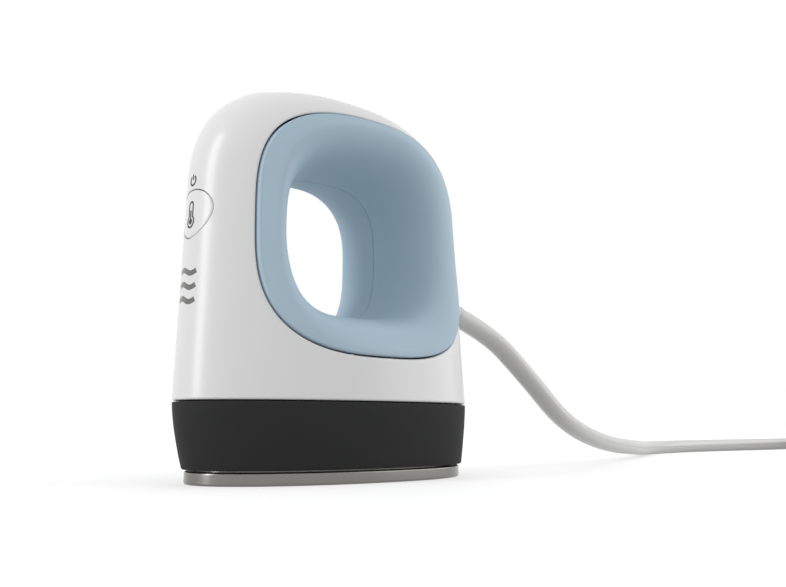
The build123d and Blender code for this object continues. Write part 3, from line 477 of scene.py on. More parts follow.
def reliefMesh():
    sizes = {label: size if isinstance(size, int) else size * mm for label, size in relief.items()}
    # the tree counts the wall, the start and the end from where the cord's line begins
    sizes["Wall"] = cord["innerLength"] * mm
    sizes["Start"] = (cord["innerLength"] + relief["Start"]) * mm
    sizes["End"] = (cord["innerLength"] + relief["Tip"]) * mm
    graph, size = startTree("reliefSweep", sizes)
    line = graph.node("GeometryNodeMeshToCurve", {}, {"Mesh": size["Geometry"]})
    kept = {"Curve": line, 4: size["Start"], 5: size["End"]}
    cut = graph.node("GeometryNodeTrimCurve", {"mode": "LENGTH"}, kept)
    path = graph.node("GeometryNodeResampleCurve", {}, {"Curve": cut, "Count": size["Stations"]})
    walked = graph.node("GeometryNodeSplineParameter", output="Length")
    along = walked + size["Start"] - size["Wall"]
    slope = (along - size["Taper From"]) / (size["Tip"] - size["Taper From"])
    left = 1.0 - graph.clamp(slope)
    taper = size["Tip Radius"] + (size["Hole Radius"] - size["Tip Radius"]) * left * left
    flanged = (along > size["Flange From"]) * (along < size["Flange To"])
    flange = flanged * (size["Flange Radius"] - size["Hole Radius"])
    wave = graph.math("SINE", (along - size["Rib From"]) * pi / size["Rib Pitch"])
    ribs = (along > size["Rib From"]) * (along < size["Rib To"]) * wave * wave * size["Rib Depth"]
    ends = graph.node("GeometryNodeCurveEndpointSelection")
    outside = taper + flange - ribs
    radius = outside + (size["Bore"] - outside) * ends
    ring = graph.node("GeometryNodeCurvePrimitiveCircle", {}, {"Resolution": size["Columns"], "Radius": 1.0})
    sleeve, bore = [
        graph.node("GeometryNodeCurveToMesh", {}, {"Curve": path, "Profile Curve": ring, "Scale": scale})
        for scale in (radius, size["Bore"])
    ]
    both = graph.tree.nodes.new("GeometryNodeJoinGeometry")
    for part in (sleeve, graph.node("GeometryNodeFlipFaces", {}, {"Mesh": bore})):
        graph.feed(both.inputs["Geometry"], part)
    joint = Wire(graph, both.outputs["Geometry"])
    return growMesh("cordRelief", cordLine, graph, joint, sizes, "cord_sheath")


# tie: strap drawn round the coil's strands and bent with the coil
tie = dict(width=12.0, thickness=0.8, slack=0.05, stations=8, columns=96)


def strandCentres():
    # each strand's distance from the coil's middle and its height, where the strap crosses it
    line = np.array([vertex.co for vertex in cordLine.vertices]) / mm
    away = line[:, :2] - np.array(coil["centre"])
    reach = np.hypot(away[:, 0], away[:, 1])
    bearing = (np.degrees(np.arctan2(away[:, 1], away[:, 0])) - coil["tieAngle"] + 180.0) % 360.0 - 180.0
    before, after = bearing[:-1], bearing[1:]
    wound = reach[:-1] < coil["outerRadius"] + cord["diameter"]
    crossing = np.where((before * after <= 0) & (np.abs(before - after) < 90.0) & wound)[0]
    share = before[crossing] / (before[crossing] - after[crossing])
    crossed = [row[crossing] + share * (row[crossing + 1] - row[crossing]) for row in (reach, line[:, 2])]
    return np.stack(crossed, -1)


def tieMesh():
    centres = strandCentres()
    print("strap crosses", len(centres), "strands")
    facing = 2 * pi * (np.arange(tie["columns"]) + 0.5) / tie["columns"]
    outward = np.stack([np.cos(facing), np.sin(facing)], -1)
    chosen = centres[np.argmax(outward @ centres.T, axis=1)]
    middle = centres[:, 0].mean()
    across = np.linspace(-tie["width"] / 2, tie["width"] / 2, tie["stations"])
    inner = cord["diameter"] / 2 + tie["slack"]
    section = [(place, inner + tie["thickness"]) for place in across]
    section += [(place, inner) for place in across[::-1]]
    rows = []
    for place, grow in section:
        reach, height = (chosen + outward * grow).T
        bearing = radians(coil["tieAngle"]) + place / middle
        x, y = coil["centre"][0] + reach * cos(bearing), coil["centre"][1] + reach * sin(bearing)
        rows.append(np.stack([x, y, np.maximum(height, 0.0)], -1))
    return finishMesh(ringMesh(rows, closed=True), "coilStrap")


tiePiece = linkPiece("coilStrap", tieMesh(), "tie_strap", sharp=50.0)
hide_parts("cord_tie")
reliefPiece = linkPiece("cordRelief", reliefMesh(), "cord_sheath", sharp=50.0)
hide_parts("strain_relief")
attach(cordPiece, "root")
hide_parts("power_cord", "cord_coil", "plug_lead")
[value * mm for value in exitPoint(0.0)]
print("cord laid:", len(leadPoints) + len(coilPoints) + len(plugPoints), "points")


def bodySide(x, z, inset=0.0):
    # half thickness of the body at a point of the middle plane
    nose, rear, half = bodyExtent(z, inset)
    widest = nose + body["widestShare"] * (rear - nose)
    ahead = x < widest
    length = np.maximum(np.where(ahead, widest - nose, rear - widest), 1e-6)
    reach = np.where(ahead, widest - x, x - widest) / length
    power = np.where(ahead, body["nosePower"], body["rearPower"])
    return half * np.clip(1 - np.abs(reach) ** power, 0, None) ** (1 / power)


def noseX(y, z, inset=0.0):
    # X of the nose's surface at a height and a distance from the middle plane
    nose, rear, half = bodyExtent(z, inset)
    widest = nose + body["widestShare"] * (rear - nose)
    return widest - (widest - nose) * np.sqrt(np.clip(1 - (y / half) ** 2, 0, None))


def planPoints(turn, z, inset=0.0):
    # egg-shaped plan at height z; turn is 0 at the rear and pi at the nose
    nose, rear, half = bodyExtent(z, inset)
    widest = nose + body["widestShare"] * (rear - nose)
    ahead = np.cos(turn) < 0
    x, y = superellipse(turn, np.where(ahead, body["nosePower"], body["rearPower"]))
    return widest + x * np.where(ahead, widest - nose, rear - widest), y * half


def superellipse(turn, power):
    reach = (np.abs(np.cos(turn)) ** power + np.abs(np.sin(turn)) ** power) ** (-1 / power)
    return np.cos(turn) * reach, np.sin(turn) * reach


def spreadAlong(x, z, count):
    # the same line with points evenly spaced along it
    walked = np.concatenate([[0], np.cumsum(np.hypot(np.diff(x), np.diff(z)))])
    places = np.linspace(0, walked[-1], count)
    return np.interp(places, walked, x), np.interp(places, walked, z)


# outlines of the blue grip and of the hand hole: reaches and powers run rear, top, front, bottom
grip = dict(
    centre=(2.05, 63.7), reaches=(35.15, 32.3, 35.15, 32.3), powers=(2.35, 3.6, 3.0, 2.75),
    holeCentre=(-0.3, 63.8), holeReaches=(17.8, 19.3, 20.5, 20.5), holePowers=(2.8, 2.95, 3.9, 3.3),
    flarePowers=(2.8, 1.97, 1.56, 3.0), depth=27.0, roll=7.8, proud=0.4, gap=0.42, edgeRound=0.55,
    rimDepth=2.6, wall=2.2, seam=0.06, seamBevel=0.14, seamStep=0.05, backRise=0.3,
    columns=220, rows=40, firstTurn=0.001,
)


def outlinePoints(turn, centre, reaches, powers, grow=0.0):
    quarter = (turn // (pi / 2)).astype(int) % 4
    x, z = superellipse(turn, np.array(powers)[quarter])
    along = np.where(x > 0, reaches[0], reaches[2]) + grow
    upright = np.where(z > 0, reaches[1], reaches[3]) + grow
    return centre[0] + x * along, centre[1] + z * upright


def smoothMin(first, second, reach):
    share = np.clip(0.5 + 0.5 * (second - first) / reach, 0, 1)
    return second * (1 - share) + first * share - reach * share * (1 - share)


def gripMesh(name, side):
    # every column is one closed section: flare, rolled front, rim, back and the seam's wall
    turn = np.linspace(0, 2 * pi, grip["columns"], endpoint=False) + grip["firstTurn"]
    holeX, holeZ = outlinePoints(turn, grip["holeCentre"], grip["holeReaches"], grip["holePowers"])
    rimX, rimZ = outlinePoints(turn, grip["centre"], grip["reaches"], grip["powers"], -grip["gap"])
    span = np.hypot(rimX - holeX, rimZ - holeZ)
    outX, outZ = (rimX - holeX) / span, (rimZ - holeZ) / span
    rear, top, front, bottom = grip["flarePowers"]
    level = np.where(np.cos(turn) > 0, rear, front) * np.cos(turn) ** 2
    power = level + np.where(np.sin(turn) > 0, top, bottom) * np.sin(turn) ** 2
    endShare = 1 - grip["edgeRound"] / span

    def surface(share):
        x, z = holeX + share * span * outX, holeZ + share * span * outZ
        depth = grip["depth"] * (1 - (1 - share) ** power) ** (1 / power)
        roll = grip["roll"] * (1 - share ** 3) + 0.01
        return share * span, smoothMin(depth, bodySide(x, z, -grip["proud"]), roll)

    across, height = [], []
    for step in range(grip["rows"] + 1):
        quarter = np.sin(step / grip["rows"] * pi / 2)
        share = (1 - (1 - quarter ** power) ** (1 / power)) * endShare
        reach, y = surface(share)
        across.append(reach)
        height.append(y)
    height = [np.maximum(y, grip["seam"]) for y in height]
    bevel = grip["seamBevel"]
    height[0] = np.full_like(span, grip["seam"] + bevel)
    height[1] = np.maximum(height[1], height[0] + grip["seamStep"])
    edge, edgeRound = surface(endShare)[1], grip["edgeRound"]
    outline = list(zip(across, height))
    for lean in (22.5, 45.0, 67.5, 90.0):
        turned = radians(lean)
        outline.append((span - edgeRound + edgeRound * sin(turned), edge - edgeRound * (1 - cos(turned))))
    rimLow = edge - grip["rimDepth"]
    outline.append((span, rimLow))
    outline.append((span - grip["wall"], rimLow))
    back, lowest = [], grip["seam"] + grip["backRise"]
    for i in range(2, grip["rows"] - 1, 2):
        slopeAcross, slopeUp = across[i + 1] - across[i - 1], height[i + 1] - height[i - 1]
        size = np.maximum(np.hypot(slopeAcross, slopeUp), 1e-6)
        inner = across[i] + grip["wall"] * slopeUp / size
        lower = height[i] - grip["wall"] * slopeAcross / size
        back.append((np.minimum(inner, span - grip["wall"]), np.clip(lower, lowest, rimLow)))
    outline += back[::-1]
    outline.append((np.full_like(span, grip["wall"]), np.full_like(span, grip["seam"])))
    outline.append((np.full_like(span, bevel), np.full_like(span, grip["seam"])))
    rows = [np.stack([holeX + a * outX, side * y, holeZ + a * outZ], -1) for a, y in outline]
    return finishMesh(ringMesh(rows, closed=True), name)


for name, pieceName, side in (("grip_left", "gripHalfLeft", -1), ("grip_right", "gripHalfRight", 1)):
    half = linkPiece(pieceName, gripMesh(name, side), "grip_blue", sharp=50.0)
    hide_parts(name)
print("grip halves ready")

# white shell: one skin drawn in columns from the grip's opening out to the body's profile and foot
shell = dict(
    round=0.5, footRound=0.55, profileColumns=230, footColumns=90, rows=30, innerRows=14,
    wallSamples=60, crownSamples=400, openingSamples=2000, firstTurn=0.0005,
)


def footTurns():
    return np.linspace(0, pi, shell["footColumns"] + 2)


def shellColumns(inset, foot):
    # outer ends of the columns: up the nose, over the crown, down the rear, and back along the foot
    start, top = body["rearCrown"][0], body["height"] - inset
    wall = np.linspace(foot, start, shell["wallSamples"])[:-1]
    arch = start + (top - start) * np.sin(np.linspace(0, pi / 2, shell["crownSamples"]))
    rise = np.concatenate([wall, arch])
    rise[-1] = top
    nose, rear, _ = bodyExtent(rise, inset)
    profileX, profileZ = np.concatenate([nose, rear[::-1][1:]]), np.concatenate([rise, rise[::-1][1:]])
    x, z = spreadAlong(profileX, profileZ, shell["profileColumns"])
    footX, _ = planPoints(footTurns()[1:-1], np.float64(foot), inset)
    return np.concatenate([x, footX]), np.concatenate([z, np.full(len(footX), foot)])


def openingTowards(x, z, grow):
    # where the line from the grip's centre to each column's end crosses the grip's outline
    turn = np.linspace(0, 2 * pi, shell["openingSamples"], endpoint=False) + shell["firstTurn"]
    edgeX, edgeZ = outlinePoints(turn, grip["centre"], grip["reaches"], grip["powers"], grow)
    bearing = np.unwrap(np.arctan2(edgeZ - grip["centre"][1], edgeX - grip["centre"][0]))
    wanted = np.arctan2(z - grip["centre"][1], x - grip["centre"][0]) % (2 * pi)
    return [np.interp(wanted, bearing, edge, period=2 * pi) for edge in (edgeX, edgeZ)]


def shellSkin(inset, foot, rowCount, grow):
    endX, endZ = shellColumns(inset, foot)
    startX, startZ = openingTowards(endX, endZ, grow)
    profile = shell["profileColumns"]
    rows = []
    for step in range(rowCount + 1):
        share = 1 - (1 - step / rowCount) ** 2
        x, z = startX + share * (endX - startX), startZ + share * (endZ - startZ)
        y = bodySide(x, z, inset)
        if step == rowCount:
            y[:profile] = 0.0
            y[profile:] = planPoints(footTurns()[1:-1], np.float64(foot), inset)[1]
        rows.append(np.stack([x, y, z], -1))
    return rows


def shellMesh():
    foot = shellLow[2]
    outer = shellSkin(0.0, foot + shell["footRound"], shell["rows"], shell["round"])
    inner = shellSkin(body["wall"], foot, shell["innerRows"], 0.0)
    edgeX, edgeZ = openingTowards(outer[-1][:, 0], outer[-1][:, 2], 0.0)
    lip = []
    for lean in (90.0, 67.5, 45.0, 22.5):
        short = 1 - sin(radians(lean))
        x, z = edgeX + (outer[0][:, 0] - edgeX) * short, edgeZ + (outer[0][:, 2] - edgeZ) * short
        lip.append(np.stack([x, bodySide(x, z) - shell["round"] * (1 - cos(radians(lean))), z], -1))
    inner[0] = np.stack([edgeX, bodySide(edgeX, edgeZ, body["wall"]), edgeZ], -1)
    build = ringMesh(inner[::-1] + lip + outer, closed=False, mirrored=True)
    profile, columns = shell["profileColumns"], shell["profileColumns"] + shell["footColumns"]
    ring = np.concatenate([[profile - 1], np.arange(profile, columns), [0]])
    footRows = [outer[-1][ring]]
    for lean in (30.0, 60.0, 90.0):
        drawn = shell["footRound"] * (1 - cos(radians(lean)))
        height = foot + shell["footRound"] * (1 - sin(radians(lean)))
        x, y = planPoints(footTurns(), np.float64(height), drawn)
        footRows.append(np.stack([x, np.abs(y), np.full_like(x, height)], -1))
    footRows.append(inner[-1][ring])
    for row in footRows:
        row[[0, -1], 1] = 0.0
    for side in (1, -1):
        addSkin(build, footRows, around=False, side=side)
    return finishMesh(build, "mainShell")


def cutAway(target, cutter):
    # exact boolean on two meshes, applied through two passing objects
    first, second = newObject("cutTarget", target), newObject("cutTool", cutter)
    cut = first.modifiers.new("cut", "BOOLEAN")
    cut.operation = "DIFFERENCE"
    cut.solver = "EXACT"
    cut.object = second
    graph = bpy.context.evaluated_depsgraph_get()
    result = bpy.data.meshes.new_from_object(first.evaluated_get(graph))
    result.name = target.name
    bpy.data.objects.remove(first)
    bpy.data.objects.remove(second)
    return result


def prismAlong(name, outline, direction):
    # closed prism: the outline's points, and the same moved by direction
    first = np.array(outline, dtype=float)
    second = first + np.array(direction)
    build = bmesh.new()
    low = [build.verts.new(tuple(p * mm)) for p in first]
    high = [build.verts.new(tuple(p * mm)) for p in second]
    count = len(low)
    build.faces.new(low)
    build.faces.new(high[::-1])
    for i in range(count):
        build.faces.new((low[i], low[(i + 1) % count], high[(i + 1) % count], high[i]))
    return finishMesh(build, name)


# control button: rounded pick shape with a thermometer mark, and a power mark on the shell above it
button = dict(
    centreZ=67.4, halfWidth=7.45, topRise=6.0, tipDrop=6.9, powers=(2.15, 1.72), gap=0.28, edgeRound=0.3,
    thickness=3.6, rimReach=1.0, rimFront=2.25, rimBack=3.05, stemRadius=2.0, stemFrom=4.0, stemEnd=-38.9,
    cutDepth=7.0, columns=96, rows=12,
)
waves = dict(
    levels=(52.1, 48.5, 44.9), halfWidth=3.7, stroke=1.25, rise=0.55, gap=0.05, cutDepth=5.0, points=25,
    lensFront=0.04, lensBack=3.3, flangeBeyond=3.0, flangeWider=3.2, flangeFront=2.15, flangeBack=3.1,
)
# dotRadius and dotLine are shares of the bulb's radius
marks = dict(
    line=0.50, tubeHalf=0.90, tubeTop=70.1, columnTop=67.9, columnLine=0.55, bulbZ=65.0, bulbRadius=1.5,
    dotRadius=0.27, dotLine=0.5, powerZ=75.8, powerRadius=1.25, powerGap=35.0, barFrom=0.15, barBeyond=0.35,
)


def buttonOutline(grow, count):
    turn = 2 * pi * (np.arange(count) + 0.5) / count
    upper = np.sin(turn) > 0
    y, z = superellipse(turn, np.where(upper, *button["powers"]))
    upright = np.where(upper, button["topRise"], button["tipDrop"]) + grow
    return y * (button["halfWidth"] + grow), button["centreZ"] + z * upright


def onNose(y, z, depth=0.0):
    y, z = np.asarray(y, dtype=float), np.asarray(z, dtype=float)
    return np.stack([noseX(y, z) + depth, y, z], -1)


def buttonMesh():
    edgeY, edgeZ = buttonOutline(-button["gap"], button["columns"])
    awayY, awayZ = edgeY, edgeZ - button["centreZ"]
    size = np.hypot(awayY, awayZ)
    awayY, awayZ = awayY / size, awayZ / size

    def shrunk(share, depth):
        return onNose(edgeY * share, button["centreZ"] + (edgeZ - button["centreZ"]) * share, depth)

    steps = np.arange(button["rows"] + 1) / button["rows"]
    rows = [shrunk(step * (1 - button["edgeRound"] / size), 0.0) for step in steps]
    for lean in (30.0, 60.0, 90.0):
        back = button["edgeRound"] * (1 - sin(radians(lean)))
        y, z = edgeY - awayY * back, edgeZ - awayZ * back
        rows.append(onNose(y, z, button["edgeRound"] * (1 - cos(radians(lean)))))
    rimY, rimZ = buttonOutline(button["rimReach"], button["columns"])
    rows.append(onNose(edgeY, edgeZ, button["rimFront"]))
    rows.append(onNose(rimY, rimZ, button["rimFront"]))
    rows.append(onNose(rimY, rimZ, button["rimBack"]))
    rows.append(onNose(edgeY, edgeZ, button["rimBack"]))
    rows += [shrunk(1 - step, button["thickness"]) for step in steps]
    face = finishMesh(ringMesh(rows, closed=False), "buttonFace")
    stemY, stemZ = circlePoints(0.0, button["centreZ"], button["stemRadius"], 24)
    start = shellLow[0] + button["stemFrom"]
    stemOutline = np.stack([np.full_like(stemY, start), stemY, stemZ], -1)
    stem = prismAlong("buttonStem", stemOutline, (button["stemEnd"] - start, 0, 0))
    return joined("pressButton", [face, stem])


def strokePrism(name, y, z, width, closed=False, front=-0.04, back=0.08):
    # band along a line on the nose, between two depths
    y, z = np.asarray(y, dtype=float), np.asarray(z, dtype=float)
    if closed:
        stepY, stepZ = np.roll(y, -1) - np.roll(y, 1), np.roll(z, -1) - np.roll(z, 1)
    else:
        stepY, stepZ = np.gradient(y), np.gradient(z)
    size = np.hypot(stepY, stepZ)
    sideY, sideZ = -stepZ / size * width / 2, stepY / size * width / 2
    corners = [(1, front), (-1, front), (-1, back), (1, back)]
    rows = [onNose(y + side * sideY, z + side * sideZ, depth) for side, depth in corners]
    build = bmesh.new()
    grid = [[build.verts.new(tuple(p * mm)) for p in row] for row in rows]
    count = len(y)
    for i in range(4):
        for j in range(count if closed else count - 1):
            beside, ahead = grid[(i + 1) % 4], (j + 1) % count
            build.faces.new((grid[i][j], beside[j], beside[ahead], grid[i][ahead]))
    if not closed:
        build.faces.new([grid[i][0] for i in range(4)])
        build.faces.new([grid[3 - i][-1] for i in range(4)])
    return finishMesh(build, name)


def arcPoints(centreY, centreZ, radius, start, end, count):
    turn = np.radians(np.linspace(start, end, count))
    return centreY + radius * np.cos(turn), centreZ + radius * np.sin(turn)


def circlePoints(centreY, centreZ, radius, count):
    return arcPoints(centreY, centreZ, radius, 0.0, 360.0 - 360.0 / count, count)


def joined(name, meshes):
    build = bmesh.new()
    for mesh in meshes:
        build.from_mesh(mesh)
    result = bpy.data.meshes.new(name)
    build.to_mesh(result)
    build.free()
    return result


def thermometerMesh():
    # outline of tube and bulb, and the column inside it
    neck = degrees(asin(marks["tubeHalf"] / marks["bulbRadius"]))
    bulbY, bulbZ = arcPoints(0.0, marks["bulbZ"], marks["bulbRadius"], 90.0 + neck, 450.0 - neck, 26)
    capZ = marks["tubeTop"] - marks["tubeHalf"]
    capY, topZ = arcPoints(0.0, capZ, marks["tubeHalf"], 0.0, 180.0, 11)
    outline = strokePrism("thermometerOutline", np.concatenate([bulbY, capY]), np.concatenate([bulbZ, topZ]),
                          marks["line"], closed=True)
    columnZ = np.linspace(marks["bulbZ"], marks["columnTop"], 8)
    column = strokePrism("thermometerColumn", np.zeros(8), columnZ, marks["columnLine"])
    dotY, dotZ = circlePoints(0.0, marks["bulbZ"], marks["bulbRadius"] * marks["dotRadius"], 16)
    dot = strokePrism("thermometerDot", dotY, dotZ, marks["bulbRadius"] * marks["dotLine"], closed=True)
    return joined("thermometerMark", [outline, column, dot])


def powerMesh():
    # ring that is open at its top, and the bar in the opening
    gap, middle = marks["powerGap"], marks["powerZ"]
    ringY, ringZ = arcPoints(0.0, middle, marks["powerRadius"], 90.0 + gap, 450.0 - gap, 28)
    ring = strokePrism("powerRing", ringY, ringZ, marks["line"])
    barZ = np.linspace(middle + marks["barFrom"], middle + marks["powerRadius"] + marks["barBeyond"], 6)
    return joined("powerMark", [ring, strokePrism("powerBar", np.zeros(6), barZ, marks["line"])])


def waveLine(level):
    y = np.linspace(-waves["halfWidth"], waves["halfWidth"], waves["points"])
    return y, level + waves["rise"] * np.sin(pi * y / waves["halfWidth"])


def waveOutline(level, grow):
    # one wave stroke: its centre line offset to both sides, so that the ends are square to it
    reach = waves["halfWidth"]
    y, z = waveLine(level)
    slope = waves["rise"] * pi / reach * np.cos(pi * y / reach)
    size = np.hypot(1.0, slope)
    half = waves["stroke"] / 2 + grow
    endY, endZ = grow / size, grow * slope / size
    y[0] -= endY[0]
    z[0] -= endZ[0]
    y[-1] += endY[-1]
    z[-1] += endZ[-1]
    upper = np.stack([y - slope / size * half, z + half / size], -1)
    lower = np.stack([y + slope / size * half, z - half / size], -1)
    return np.concatenate([upper, lower[::-1]])


def nosePrism(name, outline, depth, lead=3.0):
    # cutter that starts before the nose and reaches a depth behind its foremost point
    return prismAlong(name, np.insert(outline, 0, shellLow[0] - lead, axis=1), (depth + lead, 0.0, 0.0))


skin = shellMesh()
print("shell skin:", len(skin.polygons), "faces")
openingOutline = np.stack(buttonOutline(0.0, button["columns"]), -1)
skin = cutAway(skin, nosePrism("buttonCutter", openingOutline, button["cutDepth"]))
for level in waves["levels"]:
    skin = cutAway(skin, nosePrism("waveCutter", waveOutline(level, waves["gap"]), waves["cutDepth"]))

# the hole is centred where the cord's line goes through the wall
ringAcross, ringAbove = circlePoints(0.0, 0.0, cord["holeRadius"], 48)
firstX, firstY, firstZ = np.array([vertex.co for vertex in cordLine.vertices][:cord["firstPoints"]]).T / mm
throughWall = (0.0, np.interp(exitX, firstX, firstY), np.interp(exitX, firstX, firstZ) - cord["exitZ"])
holeStart = [exitPoint(cord["holeFrom"], y, z) for y, z in zip(ringAcross, ringAbove)]
holeRun = np.array(exitPoint(cord["holeLength"])) - np.array(exitPoint(0.0))
skin = cutAway(skin, prismAlong("cordHoleCutter", np.array(holeStart) + throughWall, holeRun))
shellPiece = linkPiece("mainShell", skin, "shell_white", sharp=38.0)
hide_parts("main_shell")
print("shell ready:", len(skin.polygons), "faces")

buttonPiece = linkPiece("pressButton", buttonMesh(), "button_white", body="button", sharp=40.0)
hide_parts("power_button")
linkPiece("thermometerMark", thermometerMesh(), "component_black", body="button", material=inkDark)
linkPiece("powerMark", powerMesh(), "component_black", material=inkDark)
strokes = []
depths = dict(front=waves["lensFront"], back=waves["lensBack"])
for level in waves["levels"]:
    strokes.append(strokePrism("waveStroke", *waveLine(level), waves["stroke"], **depths))
highest, lowest = waves["levels"][0], waves["levels"][-1]
flangeZ = np.linspace(lowest - waves["flangeBeyond"], highest + waves["flangeBeyond"], 6)
flangeWidth = 2 * waves["halfWidth"] + waves["flangeWider"]
depths = dict(front=waves["flangeFront"], back=waves["flangeBack"])
strokes.append(strokePrism("waveFlange", np.zeros(6), flangeZ, flangeWidth, **depths))
lensPiece = linkPiece("waveLens", joined("waveLens", strokes), "lens_grey")
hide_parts("wave_lens")
print("button, marks and lights ready")

# skirt: its section swept round a circle, then laid on the egg-shaped plan of each height
skirt = dict(
    bottom=skirtLow[2], height=16.5, flare=1.5, wall=2.2, deck=3.0, overhang=0.7,
    topRound=0.3, footRound=0.35, lipHeight=2.6, lipWall=1.6, lipInset=2.15,
    solidInset=6.0, poleInset=26.0, wallLevels=12, columns=256,
)


def skirtSection():
    # from the middle of the deck out over the lip, down the wall and back under the deck
    bottom, top = skirt["bottom"], skirt["bottom"] + skirt["height"]
    lipInner, deckLow = skirt["lipInset"] + skirt["lipWall"], top - skirt["deck"]
    points = [(skirt["poleInset"], top), (skirt["solidInset"], top), (lipInner, top)]
    points += [(lipInner, top + skirt["lipHeight"]), (skirt["lipInset"], top + skirt["lipHeight"])]
    points += [(skirt["lipInset"], top)]
    quarter = [radians(lean) for lean in (0.0, 30.0, 60.0, 90.0)]
    over, under = skirt["topRound"], skirt["footRound"]
    points += [(over * (1 - sin(turned)), top - over * (1 - cos(turned))) for turned in quarter]
    wallTop, wallFoot = top - over, bottom + under
    points += [(0.0, wallTop + (wallFoot - wallTop) * step / skirt["wallLevels"])
               for step in range(1, skirt["wallLevels"])]
    points += [(under * (1 - cos(turned)), wallFoot - under * sin(turned)) for turned in quarter]
    points += [(skirt["wall"], bottom), (skirt["wall"], deckLow), (skirt["solidInset"], deckLow)]
    points.append((skirt["poleInset"], deckLow))
    return lineMesh("skirtSection", [(inset, z, 0.0) for inset, z in points])


def skirtMesh():
    sizes = {
        "Columns": skirt["columns"], "Bottom": skirt["bottom"] * mm, "Height": skirt["height"] * mm,
        "Flare": skirt["flare"], "Foot Nose": (plateLow[0] - skirt["overhang"]) * mm,
        "Foot Rear": (plateHigh[0] + skirt["overhang"]) * mm,
        "Foot Half": (plateHigh[1] + skirt["overhang"]) * mm,
        "Top Nose": shellLow[0] * mm, "Top Rear": shellHigh[0] * mm, "Top Half": shellHigh[1] * mm,
        "Widest Share": body["widestShare"], "Nose Power": body["nosePower"], "Rear Power": body["rearPower"],
        "Solid Inset": skirt["solidInset"] * mm, "Pole Inset": skirt["poleInset"] * mm,
    }
    graph, size = startTree("skirtSweep", sizes)
    section = graph.node("GeometryNodeMeshToCurve", {}, {"Mesh": size["Geometry"]})
    ring = {"Resolution": size["Columns"], "Radius": 1.0}
    circle = graph.node("GeometryNodeCurvePrimitiveCircle", {}, ring)
    swept = graph.node("GeometryNodeCurveToMesh", {}, {"Curve": circle, "Profile Curve": section})
    place = graph.node("GeometryNodeInputPosition")
    x, y, z = [graph.node("ShaderNodeSeparateXYZ", {}, {"Vector": place}, output=axis) for axis in "XYZ"]
    radius = graph.math("SQRT", x * x + y * y)
    inset = graph.math("ABSOLUTE", 1.0 - radius)
    level = graph.math("ABSOLUTE", z)
    climb = graph.clamp((level - size["Bottom"]) / size["Height"])
    share = 1.0 - (1.0 - climb) ** size["Flare"]
    drawn = graph.math("MINIMUM", inset, size["Solid Inset"])
    nose = size["Foot Nose"] + (size["Top Nose"] - size["Foot Nose"]) * share + drawn
    rear = size["Foot Rear"] + (size["Top Rear"] - size["Foot Rear"]) * share - drawn
    half = size["Foot Half"] + (size["Top Half"] - size["Foot Half"]) * share - drawn
    widest = nose + (rear - nose) * size["Widest Share"]
    along, across = x / radius, y / radius
    ahead = along < 0.0
    power = size["Rear Power"] + (size["Nose Power"] - size["Rear Power"]) * ahead
    spread = graph.math("ABSOLUTE", along) ** power + graph.math("ABSOLUTE", across) ** power
    reach = spread ** (-1.0 / power)
    length = (rear - widest) + ((widest - nose) - (rear - widest)) * ahead
    shrink = 1.0 - (inset - drawn) / (size["Pole Inset"] - size["Solid Inset"])
    laidX = widest + along * reach * length * shrink
    laidY = across * reach * half * shrink
    laid = graph.node("ShaderNodeCombineXYZ", {}, {"X": laidX, "Y": laidY, "Z": level})
    moved = graph.node("GeometryNodeSetPosition", {}, {"Geometry": swept, "Position": laid})
    return growMesh("flaredSkirt", skirtSection(), graph, moved, sizes, "skirt_charcoal")


skirtPiece = linkPiece("flaredSkirt", skirtMesh(), "skirt_charcoal", sharp=40.0)
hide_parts("skirt")
print("skirt ready:", len(skirtPiece.data.polygons), "faces")

# table, backdrop and lamps
studio = dict(
    # the floor's glow is lower near the press, which paints shade there, and rises to its far level between
    # glowFrom and glowTo metres
    fill=0.69, floorWhite=0.55, glowNearPaintedShade=0.50, glowFar=0.62, glowFrom=0.15, glowTo=0.75,
    floorReach=8.0, aimHeight=0.06,
    nose=dict(place=(-1.14, 0.20, 0.45), width=0.32, height=1.10, power=6.2),
    rear=dict(place=(1.00, -0.65, 0.55), width=1.30, height=1.30, power=6.3),
    back=dict(place=(0.75, 0.85, 1.00), width=0.50, height=0.50, power=1.6),
)


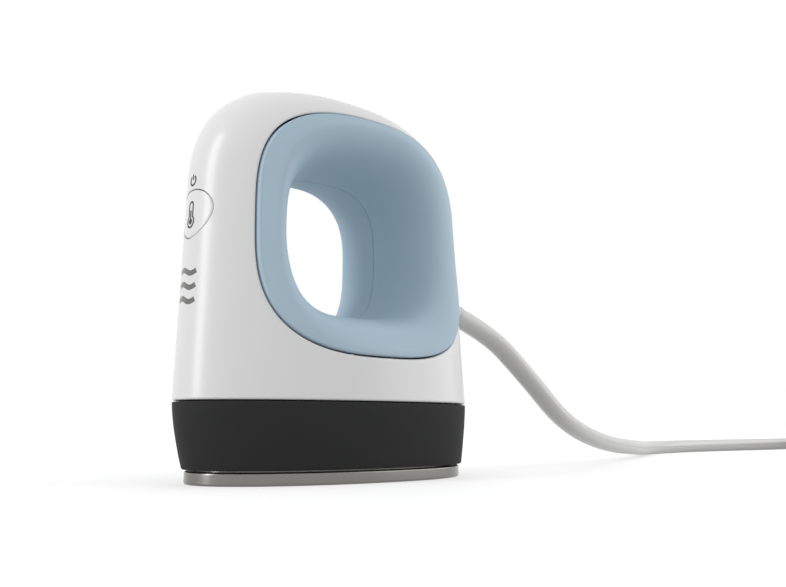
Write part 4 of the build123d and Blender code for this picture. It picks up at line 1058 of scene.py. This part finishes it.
def addFloor():
    mesh = bpy.data.meshes.new("studioFloor")
    reach = studio["floorReach"]
    corners = [(-reach, -reach, 0), (reach, -reach, 0), (reach, reach, 0), (-reach, reach, 0)]
    mesh.from_pydata(corners, [], [(0, 1, 2, 3)])
    floor = newObject("studioFloor", mesh)
    material, graph, shader, place = startMaterial("floorWhite", 0.9, specular=0.1)
    shader.inputs["Base Color"].default_value = (studio["floorWhite"],) * 3 + (1.0,)
    shader.inputs["Emission Color"].default_value = (1.0, 1.0, 1.0, 1.0)
    # the glow brings the table up to white, a little less of it round the press: painted shade round the
    # press, added to the lamps' real shadow
    distance = graph.node("ShaderNodeVectorMath", {"operation": "LENGTH"}, {0: place}, output="Value")
    share = graph.clamp((distance - studio["glowFrom"]) / (studio["glowTo"] - studio["glowFrom"]))
    glow = studio["glowNearPaintedShade"] + share * (studio["glowFar"] - studio["glowNearPaintedShade"])
    graph.feed(shader.inputs["Emission Strength"], seenWhite(graph) * glow)
    mesh.materials.append(material)


def seenWhite(graph):
    # 1 for rays that look at the backdrop: from the camera, or mirrored or bent by the press
    rays = [graph.node("ShaderNodeLightPath", output=name)
            for name in ("Is Camera Ray", "Is Glossy Ray", "Is Transmission Ray")]
    return graph.math("MINIMUM", rays[0] + rays[1] + rays[2], 1.0)


def addWorld():
    world = bpy.data.worlds.new("studioWorld")
    world.use_nodes = True
    bpy.context.scene.world = world
    graph = Graph(world.node_tree)
    background = world.node_tree.nodes["Background"]
    background.inputs["Color"].default_value = (1.0, 1.0, 1.0, 1.0)
    graph.feed(background.inputs["Strength"], studio["fill"] + seenWhite(graph) * (1.0 - studio["fill"]))


def addLamp(name, place, width, height, power):
    data = bpy.data.lights.new(name, "AREA")
    data.shape = "RECTANGLE"
    data.size = width
    data.size_y = height
    data.energy = power
    lamp = newObject(name, data)
    lamp.matrix_world = aimed(place, Vector((0.0, 0.0, studio["aimHeight"])) - Vector(place))


addFloor()
addWorld()
for lampName in ("nose", "rear", "back"):
    addLamp(lampName + "Lamp", **studio[lampName])
scene = bpy.context.scene
scene.view_settings.view_transform = "Standard"
print("studio ready")
